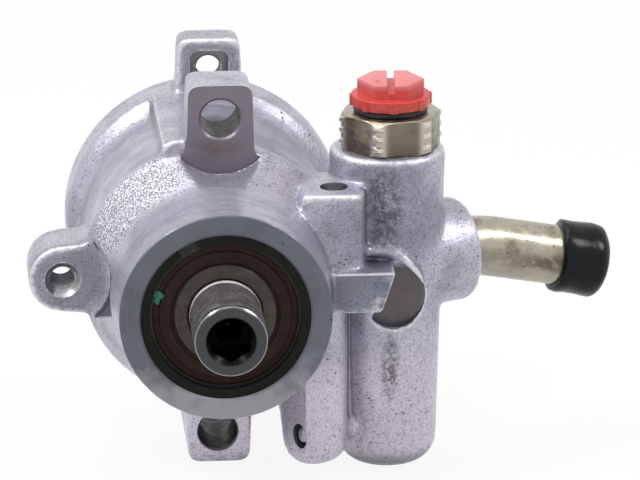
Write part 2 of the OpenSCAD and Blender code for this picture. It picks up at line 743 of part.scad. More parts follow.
// End cover with a raised boss and a dished rear face
module end_cover() {
  color("lightsteelblue") difference() {
    rearward(cover_y) rotate_extrude() polygon([
      [0, 0], [stack_r, 0], [stack_r, cover_t], [stack_r - 5, cover_t],
      [stack_r - 7, cover_t - 2], [9, cover_t - 2], [7.5, cover_t], [0, cover_t]
    ]);
    ring_y(cover_ring_mid_y - ring_groove_w / 2, ring_groove_w, chamber_r + 1, ring_groove_r);
  }
}

module end_cover_o_ring() {
  color("black") wire_ring_y(cover_ring_mid_y, ring_centre_r, ring_wire_r);
}

module cover_retaining_ring() {
  color("dimgray") open_ring_y(cover_ring_y, cover_ring_t, cover_groove_r - 0.1, chamber_r - 2.4, 270, 14);
}

module dowel_pins() {
  dowel_y = chamber_y + 2.5;
  color("silver") for (s = [-1, 1]) drill_y(s * dowel_r, 0, dowel_d, dowel_y, dowel_end);
}

// Spool with two lands, oil grooves and a seat for its spring
module flow_control_spool() {
  land = spool_len * 0.3;
  neck_r = spool_r - 2.5;
  color("silver") translate([valve_x, col_y, spool_foot]) difference() {
    rotate_extrude() polygon([
      [0, 0], [spool_r - 0.5, 0], [spool_r, 0.5], [spool_r, land], [neck_r, land + 1],
      [neck_r, spool_len - land - 1], [spool_r, spool_len - land], [spool_r, spool_len - 2],
      [spool_r - 3, spool_len], [0, spool_len]
    ]);
    for (i = [1 : 3]) translate([0, 0, land * i / 4 - 0.3]) difference() {
      cylinder(r = valve_r, h = 0.6);
      cylinder(r = spool_r - 0.5, h = 0.6);
    }
  }
}

module flow_control_spring() {
  color("gray") translate([valve_x, col_y, 0]) coil(valve_coil_r, valve_wire_d / 2, valve_coils, valve_floor, spool_foot);
}

// Hexagon union: three ridges left between the turned corners, threaded foot and a bored outlet
module discharge_fitting() {
  corner_r = fitting_af / 2 / cos(30);
  turned_r = corner_r - 0.75;
  ridge = fitting_h * 0.05;
  color("darkkhaki") translate([valve_x, col_y, 0]) difference() {
    union() {
      intersection() {
        translate([0, 0, col_top]) rotate(fitting_turn) cylinder(d = fitting_af / cos(30), h = fitting_h, $fn = 6);
        translate([0, 0, col_top]) rotate_extrude() polygon(concat(
          [[0, 0], [turned_r - 0.4, 0], [turned_r, 0.4]],
          [for (share = [0.23, 0.55, 0.84]) each [
            [turned_r, fitting_h * share - 1.6 * ridge], [corner_r, fitting_h * share - 0.8 * ridge],
            [corner_r, fitting_h * share + 0.8 * ridge], [turned_r, fitting_h * share + 1.6 * ridge]
          ]],
          [[turned_r, fitting_h - 0.6], [fitting_af / 2, fitting_h], [0, fitting_h]]
        ));
      }
      translate([0, 0, fitting_foot]) rotate_extrude() polygon([
        [0, 0], [fitting_thread_r - 1, 0], [fitting_thread_r, 1],
        [fitting_thread_r, fitting_thread_len - fitting_sink], [fitting_neck_r, fitting_thread_len - fitting_sink],
        [fitting_neck_r, fitting_thread_len], [0, fitting_thread_len]
      ]);
    }
    translate([0, 0, plug_foot - 3]) cylinder(r = plug_thread_r + run_gap, h = plug_thread_len + 3 + eps);
    translate([0, 0, fitting_foot - eps]) cylinder(d = 6, h = plug_foot - fitting_foot + 1);
  }
}

module fitting_o_ring() {
  color("black") translate([valve_x, col_y, col_top - fitting_sink / 2]) rotate_extrude()
    translate([fitting_ring_r, 0]) circle(fitting_wire_r);
}

// Slotted hexagon plug with a flange
module shipping_plug() {
  color("red") translate([valve_x, col_y, 0]) difference() {
    union() {
      translate([0, 0, plug_foot]) cylinder(r = plug_root_r, h = plug_flange_z - plug_foot);
      translate([0, 0, plug_flange_z]) cylinder(d = plug_flange_d, h = plug_flange_t);
      translate([0, 0, plug_hex_z]) cylinder(d = plug_hex_d, h = plug_hex_h, $fn = 6);
    }
    translate([-plug_slot_w / 2, -plug_flange_d / 2, plug_top - plug_slot_depth])
      cube([plug_slot_w, plug_flange_d, plug_slot_depth + eps]);
    translate([0, 0, plug_foot - eps]) cylinder(r = plug_root_r - 1.4, h = plug_thread_len + eps);
  }
}

module plug_o_ring() {
  color("black") translate([valve_x, col_y, fitting_top + plug_wire_r]) rotate_extrude()
    translate([plug_ring_r, 0]) circle(plug_wire_r);
}

// Bent tube, pressed in the return boss
module tube_section() {
  difference() {
    circle(tube_r);
    circle(tube_bore_r);
  }
}

module return_tube() {
  color("khaki") {
    at_port() {
      translate([-tube_seat, 0, 0]) rotate([0, 90, 0]) linear_extrude(tube_seat) tube_section();
      translate([0, -tube_bend_r, 0]) rotate([0, 0, 90]) rotate_extrude(angle = -tube_bend)
        translate([tube_bend_r, 0]) tube_section();
    }
    after_bend() rotate([0, 90, 0]) {
      linear_extrude(tube_straight) tube_section();
      // Sleeve inside the wall, which makes the bend and the straight one solid
      translate([0, 0, -1]) difference() {
        cylinder(r = tube_r - tube_wall / 4, h = 2);
        translate([0, 0, -eps]) cylinder(r = tube_bore_r + tube_wall / 4, h = 2 + 2 * eps);
      }
    }
  }
}

module tube_cap() {
  round_r = 3.4;
  color("black") after_bend() translate([cap_end - cap_len, 0, 0]) rotate([0, 90, 0]) rotate_extrude()
    polygon(concat(
      [[cap_bore_r, 0], [cap_r - 0.4, 0], [cap_r, 0.6]],
      arc([cap_r - round_r, cap_len - round_r], round_r, 0, 90, 8),
      [[0, cap_len], [0, cap_len - cap_wall], [cap_bore_r, cap_len - cap_wall]]
    ));
}

module passage_plug() {
  r = passage_d / 2 - seat_gap;
  color("gray") translate([passage_x, passage_y, passage_z]) rotate([0, 0, passage_az]) rotate([0, 90, 0])
    rotate_extrude() polygon([[0, 6], [0, 0], [r * 0.5, 0.2], [r * 0.85, 0.9], [r, 1.8], [r, 6]]);
}

housing();
drive_shaft();
bearing_outer_race();
bearing_inner_race();
bearing_balls();
bearing_cage();
bearing_seals();
bearing_retaining_ring();
shaft_seal();
thrust_plate();
cam_ring();
rotor();
vanes();
rotor_retaining_ring();
pressure_plate();
pressure_plate_o_ring();
pressure_spring();
end_cover();
end_cover_o_ring();
cover_retaining_ring();
dowel_pins();
flow_control_spool();
flow_control_spring();
discharge_fitting();
fitting_o_ring();
shipping_plug();
plug_o_ring();
return_tube();
tube_cap();
passage_plug();
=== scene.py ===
"""Looks of a vane-type power steering pump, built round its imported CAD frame.

The frame gives the places and sizes. The housing is recast as one skin with soft casting
edges and then machined again, and the pieces that show get turned meshes and their finishes.
"""

import json
import math

import bmesh
import bpy
import numpy as np
from mathutils import Matrix, Vector


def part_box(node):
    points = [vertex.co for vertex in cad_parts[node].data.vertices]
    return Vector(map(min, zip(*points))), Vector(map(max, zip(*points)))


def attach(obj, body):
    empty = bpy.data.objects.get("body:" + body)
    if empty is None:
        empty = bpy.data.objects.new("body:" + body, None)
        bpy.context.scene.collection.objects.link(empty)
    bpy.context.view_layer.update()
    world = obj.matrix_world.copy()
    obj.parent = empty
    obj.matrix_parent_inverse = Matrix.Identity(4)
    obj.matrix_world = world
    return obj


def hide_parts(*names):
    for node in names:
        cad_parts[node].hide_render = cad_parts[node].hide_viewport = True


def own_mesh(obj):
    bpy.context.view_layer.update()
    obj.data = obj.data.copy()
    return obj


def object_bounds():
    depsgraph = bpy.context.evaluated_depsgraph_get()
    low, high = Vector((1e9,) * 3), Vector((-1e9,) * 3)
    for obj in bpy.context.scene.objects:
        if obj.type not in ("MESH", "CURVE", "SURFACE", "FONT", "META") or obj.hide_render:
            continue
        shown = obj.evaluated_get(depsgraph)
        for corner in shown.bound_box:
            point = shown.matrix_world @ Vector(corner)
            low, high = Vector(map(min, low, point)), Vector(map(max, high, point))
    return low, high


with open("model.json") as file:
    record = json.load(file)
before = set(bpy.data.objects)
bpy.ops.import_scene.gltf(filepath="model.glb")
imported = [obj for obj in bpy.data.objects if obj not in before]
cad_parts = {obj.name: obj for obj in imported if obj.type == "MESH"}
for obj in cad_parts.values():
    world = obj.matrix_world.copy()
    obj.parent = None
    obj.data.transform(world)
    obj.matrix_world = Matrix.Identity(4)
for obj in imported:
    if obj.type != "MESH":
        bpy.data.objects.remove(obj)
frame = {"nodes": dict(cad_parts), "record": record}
CAD_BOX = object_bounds()
NODES = frame["nodes"]
MOUNTS = {m["name"]: m for m in frame["record"]["mounts"]}

bl_info = {
    "name": "Power steering pump looks",
    "version": (1, 0, 0),
    "blender": (4, 5, 0),
    "location": "View3D > Sidebar > Pump",
    "description": "Casts, machines and finishes the pieces of a power steering pump",
    "category": "Object",
}

MM = 0.001
REAR = Vector((0, 1, 0))
UP = Vector((0, 0, 1))
PUMP, PLUG, CAP = "pump", "plug", "cap"


def mm(*values):
    """Values in metres from values in millimetres."""
    return tuple(v * MM for v in values)


# Places and sizes that the frame gives

def mount_place(name):
    """Where a mount of the record is, and the way its mate leaves."""
    return Vector(MOUNTS[name]["pos_m"]), Vector(MOUNTS[name]["axis"]).normalized()


def mount_radius(name):
    """Radius that a mount of the record states."""
    return MOUNTS[name]["dims"]["r_mm"] * MM


def span_y(node):
    """Front and rear of a node along the shaft."""
    low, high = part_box(node)
    return low.y, high.y


def radius_y(node):
    """Outside radius of a node that is round about the shaft."""
    low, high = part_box(node)
    return (high.x - low.x) / 2


SHAFT_R = mount_radius("pulley_shaft")
BOLT_R = mount_radius("top_bolt")
TAP_R = mount_radius("left_thread")
SCREW_R = mount_radius("bracket_thread")
TOP_HOLE = mount_place("top_bolt")[0]
LEFT_HOLE = mount_place("left_thread")[0]
LOW_HOLE = mount_place("bottom_bolt")[0]
SCREW_HOLE = mount_place("bracket_thread")[0]
BEARING_REAR = span_y("bearing_outer_race")[1]
BEARING_R = radius_y("bearing_outer_race")
RING_FRONT, RING_REAR = span_y("bearing_retaining_ring")
CHAMBER_R = radius_y("cam_ring")
BODY_REAR = span_y("housing")[1]
COLUMN = mount_place("outlet_port")[0]
COLUMN_FOOT = (COLUMN.x, COLUMN.y, 0)
VALVE_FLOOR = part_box("flow_control_spring")[0].z
TUBE_END, TUBE_WAY = mount_place("return_hose")

# Sizes of the housing that the frame doesn't list
UNION_SHANK = 15 * MM
COLUMN_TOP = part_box("discharge_fitting")[0].z + UNION_SHANK
LUG_FACE, LUG_REAR, REAR_LUG = mm(33, 49, 74)
SCREW_MOUTH = SCREW_HOLE.z + 5.9 * MM
VALVE_R, UNION_R, UNION_SEAT_R = mm(8.5, 10.02, 10.95)
PORT = Vector((COLUMN.x - 0.8 * MM, COLUMN.y, 0.8 * MM))
PORT_WAY = Vector((math.cos(math.radians(24)), math.sin(math.radians(24)), 0))
PORT_R, PORT_FACE = mm(7.27, 19.7)
POCKET_X, POCKET_Z, POCKET_FLOOR = mm(42, -5.1, 30.5)
BLOCK_SIDE, BLOCK_FACE = mm(41.65, 18.2)
PASSAGE_R = 3.02 * MM


# Settings that a user would change

def length_setting(name, description, millimetres):
    """A length whose default is given in millimetres."""
    return bpy.props.FloatProperty(
        name=name, description=description, default=millimetres * MM, unit="LENGTH")


def angle_setting(name, description, degrees):
    """An angle whose default is given in degrees."""
    return bpy.props.FloatProperty(
        name=name, description=description, default=math.radians(degrees), subtype="ANGLE")


def colour_setting(name, description, colour):
    """A colour."""
    return bpy.props.FloatVectorProperty(
        name=name, description=description, default=colour, subtype="COLOR")


class CastingSettings(bpy.types.PropertyGroup):
    """Sizes of the recast housing."""

    voxel: length_setting("Voxel", "Grid on which the casting's skin is made", 0.7)
    soften: bpy.props.IntProperty(
        name="Soften", description="Smoothing passes that round the casting's edges", default=9, min=0)
    skim: length_setting("Skim", "Metal taken off each machined face", 0.12)
    hub_radius: length_setting("Hub radius", "Outside radius of the hub", 25)
    top_spotface: length_setting("Top spotface", "Radius of the top lug's machined face", 13.6)
    slot_width: length_setting("Slot width", "Width of the slot under that face", 19.6)
    left_spotface: length_setting("Left spotface", "Radius of the left ear's spotface", 12)
    pocket: length_setting("Pocket", "Radius of the round pocket in the column", 7.6)


class FinishSettings(bpy.types.PropertyGroup):
    """Colours of the finishes."""

    cast: colour_setting("Cast skin", "Colour of the cast aluminium", (0.505, 0.487, 0.580))
    # The machined colour is kept darker than the bored one: painted shade for the faces turned to the front
    machined: colour_setting("Machined", "Colour of the machined aluminium", (0.132, 0.139, 0.162))
    plug: colour_setting("Plug", "Colour of the plastic plug", (0.60, 0.050, 0.038))


class StageSettings(bpy.types.PropertyGroup):
    """Camera and floor."""

    turn: angle_setting("Turn", "Camera's turn about the pump", -4.65)
    height: angle_setting("Height", "Camera's height angle", 17.44)
    distance: length_setting("Distance", "Camera's distance", 1500)
    aim_right: length_setting("Aim right", "Aim to the right of the hub", 21.857)
    aim_up: length_setting("Aim up", "Aim above the hub", 18.239)
    scale: bpy.props.FloatProperty(
        name="Scale", description="Pixels of a 640 pixel wide picture per metre at the aim", default=4290.0)


# Mesh helpers

def mesh_object(name, verts, faces, materials=()):
    """A new object at the origin whose faces point outwards."""
    mesh = bpy.data.meshes.new(name)
    mesh.from_pydata([tuple(v) for v in verts], [], faces)
    made = bmesh.new()
    made.from_mesh(mesh)
    bmesh.ops.remove_doubles(made, verts=made.verts, dist=1e-7)
    bmesh.ops.recalc_face_normals(made, faces=made.faces)
    made.to_mesh(mesh)
    made.free()
    for material in materials:
        mesh.materials.append(material)
    piece = bpy.data.objects.new(name, mesh)
    bpy.context.scene.collection.objects.link(piece)
    return piece


def frame_about(axis):
    """Two directions square to an axis."""
    axis = axis.normalized()
    side = axis.cross(UP if abs(axis.z) < 0.9 else REAR).normalized()
    return side, axis.cross(side)


def ring_faces(rows, sides, closed=False):
    """Faces between rows of points, where each row is a ring."""
    faces = []
    for i in range(rows if closed else rows - 1):
        a, b = i * sides, (i + 1) % rows * sides
        for k in range(sides):
            n = (k + 1) % sides
            faces.append((a + k, a + n, b + n, b + k))
    return faces


def lathe(profile, centre=(0, 0, 0), axis=REAR, segments=96, closed=False):
    """Points and faces of a turned shape; the profile holds (radius, place along the axis)."""
    centre, side = Vector(centre), frame_about(axis)
    axis = axis.normalized()
    verts = []
    for r, a in profile:
        for k in range(segments):
            t = 2 * math.pi * k / segments
            verts.append(centre + axis * a + (side[0] * math.cos(t) + side[1] * math.sin(t)) * max(r, 0))
    return verts, ring_faces(len(profile), segments, closed)


def rod(radius, start, end, axis=REAR, centre=(0, 0, 0), segments=64):
    """Points and faces of a plain round bar between two places on an axis."""
    return lathe([(0, start), (radius, start), (radius, end), (0, end)], centre, axis, segments)


def prism(outline, start, end, upright=False):
    """Points and faces of a plate whose outline is in X and Z, or in X and Y if it is upright."""
    n = len(outline)
    verts = [Vector((a, b, c) if upright else (a, c, b)) for c in (start, end) for a, b in outline]
    faces = [tuple(range(n)), tuple(range(n, 2 * n))]
    faces += [(i, (i + 1) % n, (i + 1) % n + n, i + n) for i in range(n)]
    return verts, faces


def arc(x, z, radius, start, end, steps):
    """Points of an arc in X and Z, with both its ends."""
    turns = [start + (end - start) * k / steps for k in range(steps + 1)]
    return [(x + radius * math.cos(t), z + radius * math.sin(t)) for t in turns]


def joined(shapes):
    """Several shapes as one list of points and faces."""
    verts, faces = [], []
    for v, f in shapes:
        start = len(verts)
        verts += v
        faces += [tuple(i + start for i in face) for face in f]
    return verts, faces


def rounded(profile, radius, steps=4):
    """A profile with its inner corners replaced by small arcs."""
    points = [Vector(p) for p in profile]
    out = [points[0]]
    for before, here, after in zip(points, points[1:], points[2:]):
        to_before, to_after = before - here, after - here
        reach = min(radius, to_before.length * 0.45, to_after.length * 0.45)
        a, b = here + to_before.normalized() * reach, here + to_after.normalized() * reach
        for i in range(steps + 1):
            t = i / steps
            out.append(a * (1 - t) ** 2 + here * 2 * t * (1 - t) + b * t ** 2)
    out.append(points[-1])
    return [tuple(p) for p in out]


def applied(piece):
    """The piece's mesh with its modifiers worked in, as a plain mesh."""
    bpy.context.view_layer.update()
    graph = bpy.context.evaluated_depsgraph_get()
    mesh = bpy.data.meshes.new_from_object(
        piece.evaluated_get(graph), preserve_all_data_layers=True, depsgraph=graph)
    piece.modifiers.clear()
    old = piece.data
    piece.data = mesh
    bpy.data.meshes.remove(old)
    return piece


def shaded(piece, angle=32):
    """Smooth shading with sharp edges past an angle in degrees."""
    piece.data.shade_smooth()
    piece.data.set_sharp_from_angle(angle=math.radians(angle))
    return piece


def edges_marked(piece, passes=3):
    """Stores on each point how far it stands out as an edge (above 0) or lies in a corner (below 0)."""
    mesh = piece.data
    count = len(mesh.vertices)
    place, normal = np.empty(count * 3), np.empty(count * 3)
    ends = np.empty(len(mesh.edges) * 2, dtype=np.int32)
    mesh.vertices.foreach_get("co", place)
    mesh.vertices.foreach_get("normal", normal)
    mesh.edges.foreach_get("vertices", ends)
    place, normal, ends = place.reshape(-1, 3), normal.reshape(-1, 3), ends.reshape(-1, 2)
    a, b = ends[:, 0], ends[:, 1]
    way = place[b] - place[a]
    way /= np.maximum(np.linalg.norm(way, axis=1, keepdims=True), 1e-9)
    near = np.maximum(np.bincount(ends.ravel(), minlength=count), 1)
    mark = np.bincount(b, (normal[b] * way).sum(1), count) - np.bincount(a, (normal[a] * way).sum(1), count)
    mark /= near
    for _ in range(passes):
        around = np.bincount(a, mark[b], count) + np.bincount(b, mark[a], count)
        mark = 0.5 * mark + 0.5 * around / near
    mesh.attributes.new("edge", "FLOAT", "POINT").data.foreach_set("value", mark.astype(np.float32))
    return piece


def dropped(piece):
    """Removes a helper object and its mesh."""
    mesh = piece.data
    bpy.data.objects.remove(piece)
    bpy.data.meshes.remove(mesh)


def carried(piece, body, slot, *nodes):
    """Lets a piece ride on a body and stand for its nodes, which are hidden; the slot is not used."""
    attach(piece, body)
    if nodes:
        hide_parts(*nodes)
    return piece


def repeated_group():
    """Geometry nodes that repeat a shape round Z and along it."""
    group = bpy.data.node_groups.new("repeated_shape", "GeometryNodeTree")
    for label, kind in (
        ("Geometry", "Geometry"), ("Count", "Int"), ("Turn", "Float"), ("Rise", "Float"),
        ("Material", "Material"),
    ):
        group.interface.new_socket(label, in_out="INPUT", socket_type="NodeSocket" + kind)
    group.interface.new_socket("Geometry", in_out="OUTPUT", socket_type="NodeSocketGeometry")
    start, end, line, step, index, angle, turn, place, real, coat = (group.nodes.new(kind) for kind in (
        "NodeGroupInput", "NodeGroupOutput", "GeometryNodeMeshLine", "ShaderNodeCombineXYZ",
        "GeometryNodeInputIndex", "ShaderNodeMath", "ShaderNodeCombineXYZ", "GeometryNodeInstanceOnPoints",
        "GeometryNodeRealizeInstances", "GeometryNodeSetMaterial"))
    angle.operation = "MULTIPLY"
    for source, output, target, socket in (
        (start, "Rise", step, "Z"),
        (start, "Count", line, "Count"),
        (step, 0, line, "Offset"),
        (index, 0, angle, 0),
        (start, "Turn", angle, 1),
        (angle, 0, turn, "Z"),
        (line, "Mesh", place, "Points"),
        (start, "Geometry", place, "Instance"),
        (turn, 0, place, "Rotation"),
        (place, "Instances", real, "Geometry"),
        (real, "Geometry", coat, "Geometry"),
        (start, "Material", coat, "Material"),
        (coat, "Geometry", end, "Geometry"),
    ):
        group.links.new(source.outputs[output], target.inputs[socket])
    return group


def repeated(piece, finish, count, turn=0.0, rise=0.0):
    """Repeats a piece that is made about Z, as a plain mesh."""
    group = bpy.data.node_groups.get("repeated_shape") or repeated_group()
    worked = piece.modifiers.new("repeated", "NODES")
    worked.node_group = group
    values = {"Count": count, "Turn": turn, "Rise": rise, "Material": FINISHES[finish]}
    for item in group.interface.items_tree:
        if item.in_out == "INPUT" and item.name in values:
            worked[item.identifier] = values[item.name]
    return applied(piece)


def placed(piece, place, axis=UP):
    """Moves the points of a piece made about Z to a place and axis; the object itself stays put."""
    side = frame_about(axis)
    turn = Matrix((side[0], side[1], axis.normalized())).transposed().to_4x4()
    piece.data.transform(Matrix.Translation(place) @ turn)
    return piece


def copied(name, node, finish):
    """A copy of a CAD node with its points merged."""
    piece = mesh_object(name, [], [], [FINISHES[finish]])
    copy = bmesh.new()
    copy.from_mesh(NODES[node].data)
    bmesh.ops.remove_doubles(copy, verts=copy.verts, dist=2e-6)
    bmesh.ops.dissolve_limit(copy, angle_limit=math.radians(0.8), verts=copy.verts, edges=copy.edges)
    bmesh.ops.recalc_face_normals(copy, faces=copy.faces)
    for face in copy.faces:
        face.material_index = 0
    copy.to_mesh(piece.data)
    copy.free()
    return piece


def softened(name, node, finish, width):
    """A copy of a CAD node with small rounds on its edges."""
    piece = copied(name, node, finish)
    rounds = piece.modifiers.new("rounds", "BEVEL")
    rounds.width = width
    rounds.segments = 3
    rounds.limit_method = "ANGLE"
    rounds.angle_limit = math.radians(35)
    return shaded(applied(piece), 40)


# Material helpers

def shade(color, share):
    """A colour made darker or lighter by a share."""
    return tuple(c * share for c in color)


class Finish:
    """A procedural material; sizes and places are in millimetres, and the coordinates x, y and z in metres."""

    def __init__(self, name, color, metallic=0.0, roughness=0.5, **inputs):
        self.material = bpy.data.materials.new(name)
        self.material.use_nodes = True
        self.tree = self.material.node_tree
        self.shader = self.tree.nodes["Principled BSDF"]
        self.shader.inputs["Metallic"].default_value = metallic
        self.shader.inputs["Roughness"].default_value = roughness
        self.shader.inputs["Base Color"].default_value = (*color, 1)
        for key, value in inputs.items():
            self.shader.inputs[key.replace("_", " ")].default_value = value
        self.color = (*color, 1)
        self.coords = self.node("ShaderNodeTexCoord").outputs["Object"]
        split = self.node("ShaderNodeSeparateXYZ")
        self.link(self.coords, split.inputs[0])
        self.x, self.y, self.z = split.outputs
        self.height = None

    def node(self, kind, **values):
        """A new node with its settings."""
        made = self.tree.nodes.new(kind)
        for key, value in values.items():
            setattr(made, key, value)
        return made

    def link(self, a, b):
        """Joins an output to an input."""
        self.tree.links.new(a, b)

    def put(self, socket, value):
        """Links a socket or sets a plain value."""
        if isinstance(value, bpy.types.NodeSocket):
            self.link(value, socket)
        else:
            socket.default_value = value

    def math(self, operation, a, b=0.0):
        """One operation on two values."""
        made = self.node("ShaderNodeMath", operation=operation)
        self.put(made.inputs[0], a)
        self.put(made.inputs[1], b)
        return made.outputs[0]

    def times(self, a, b):
        """Product of two values."""
        return self.math("MULTIPLY", a, b)

    def plus(self, a, b):
        """Total of two values."""
        return self.math("ADD", a, b)

    def noise(self, size, detail=3.0, rough=0.5, coords=None, distortion=0.0):
        """Noise with grains of about this size."""
        made = self.node("ShaderNodeTexNoise")
        made.inputs["Scale"].default_value = 1 / (size * MM)
        made.inputs["Detail"].default_value = detail
        made.inputs["Roughness"].default_value = rough
        made.inputs["Distortion"].default_value = distortion
        self.link(coords or self.coords, made.inputs["Vector"])
        return made.outputs["Fac"]

    def cells(self, size):
        """Distance in a pattern of random cells of about this size."""
        made = self.node("ShaderNodeTexVoronoi")
        made.inputs["Scale"].default_value = 1 / (size * MM)
        self.link(self.coords, made.inputs["Vector"])
        return made.outputs["Distance"]

    def ramp(self, fac, low, high, to_low=0.0, to_high=1.0):
        """Maps low..high to to_low..to_high, clamped, with soft ends."""
        made = self.node("ShaderNodeMapRange", interpolation_type="SMOOTHSTEP")
        self.put(made.inputs["Value"], fac)
        for key, value in (("From Min", low), ("From Max", high), ("To Min", to_low), ("To Max", to_high)):
            made.inputs[key].default_value = value
        return made.outputs["Result"]

    def fade(self, place, low, high, to_low=0.0, to_high=1.0):
        """A ramp over a place whose limits are in millimetres."""
        return self.ramp(place, low * MM, high * MM, to_low, to_high)

    def between(self, place, low, high, soft):
        """1 from low to high and 0 outside, with soft ends."""
        return self.times(
            self.fade(place, low - soft, low + soft), self.fade(place, high - soft, high + soft, 1, 0))

    def edge(self):
        """How far the surface stands out as an edge or lies in a corner."""
        return self.node("ShaderNodeAttribute", attribute_name="edge").outputs["Fac"]

    def out_from_shaft(self):
        """Distance from the shaft's axis, in metres."""
        return self.math("SQRT", self.plus(self.times(self.x, self.x), self.times(self.z, self.z)))

    def streaks(self, size, per_radian=25 * MM / 12):
        """Noise drawn out round the shaft, which changes along the shaft and with the distance from it."""
        drawn = self.node("ShaderNodeCombineXYZ")
        self.link(self.out_from_shaft(), drawn.inputs[0])
        self.link(self.y, drawn.inputs[1])
        turn = self.math("ARCTAN2", self.z, self.x)
        self.link(self.times(self.math("ABSOLUTE", turn), per_radian), drawn.inputs[2])
        return self.noise(size, 4, 0.6, drawn.outputs[0])

    def distance(self, scale, shift):
        """Length of the Object coordinates once scaled and shifted."""
        mapping = self.node("ShaderNodeMapping", vector_type="POINT")
        mapping.inputs["Location"].default_value = shift
        mapping.inputs["Scale"].default_value = scale
        self.link(self.coords, mapping.inputs["Vector"])
        length = self.node("ShaderNodeVectorMath", operation="LENGTH")
        self.link(mapping.outputs["Vector"], length.inputs[0])
        return length.outputs["Value"]

    def near(self, place, reach, soft):
        """1 at a place and 0 past a reach of its own along each axis."""
        shift = tuple(-p / r for p, r in zip(place, reach))
        away = self.distance(tuple(1 / (r * MM) for r in reach), shift)
        return self.ramp(away, 1 - soft, 1.0, 1.0, 0.0)

    def tint(self, fac, color, blend="MIX"):
        """Mixes a colour over what is there."""
        made = self.node("ShaderNodeMix", data_type="RGBA", blend_type=blend)
        self.put(made.inputs["Factor"], fac)
        sockets = {s.identifier: s for s in (*made.inputs, *made.outputs)}
        self.put(sockets["A_Color"], self.color)
        sockets["B_Color"].default_value = (*color, 1)
        self.color = sockets["Result_Color"]

    def blotches(self, size, detail, rough, low, high, share, color):
        """Mixes a colour over patches of noise."""
        self.tint(self.ramp(self.noise(size, detail, rough), low, high, 0, share), color)

    def raise_by(self, fac, amount):
        """Adds to the height that the bump shows."""
        part = self.times(fac, amount * MM)
        self.height = part if self.height is None else self.plus(self.height, part)

    def done(self, roughness=None):
        """The material, with its colour, roughness and bump joined up."""
        if not isinstance(self.color, tuple):
            self.link(self.color, self.shader.inputs["Base Color"])
        if roughness is not None:
            self.link(roughness, self.shader.inputs["Roughness"])
        if self.height is not None:
            bump = self.node("ShaderNodeBump")
            bump.inputs["Strength"].default_value = 1.0
            bump.inputs["Distance"].default_value = 1.0
            self.link(self.height, bump.inputs["Height"])
            self.link(bump.outputs["Normal"], self.shader.inputs["Normal"])
        return self.material


# Place, reach along each axis, share and tone of the broad darker parts of the casting: below the block, on
# the boss's right side and between the lugs they are painted shade, elsewhere darker tones of the skin
CAST_SHADE_AND_TONE = (
    ((40, 30, 14), (17, 20, 20), 0.75, (0.58, 0.61, 0.66)),
    ((33, 17, -1), (12, 6, 8), 0.95, (0.42, 0.45, 0.48)),
    ((31, 17, 14), (12, 8, 12), 0.6, (0.60, 0.62, 0.64)),
    ((-37, 33, 0), (13, 5, 14), 0.85, (0.55, 0.57, 0.58)),
    ((17, 55, 26), (15, 20, 15), 0.7, (0.58, 0.58, 0.62)),
    ((1, 57, 34), (7, 12, 7), 0.9, (0.34, 0.33, 0.33)),
    ((-17, 9, 19), (16, 12, 14), 0.7, (0.68, 0.68, 0.72)),
)
# Place, reach and softness of the dark smudges down the column and under it
CAST_SMUDGES = (
    ((38.8, 27, 17), (6.5, 5, 14), 0.55),
    ((41, 27, -23), (2.8, 4, 13), 0.7),
    ((40, 36, -47), (13, 13, 4.5), 0.9),
)


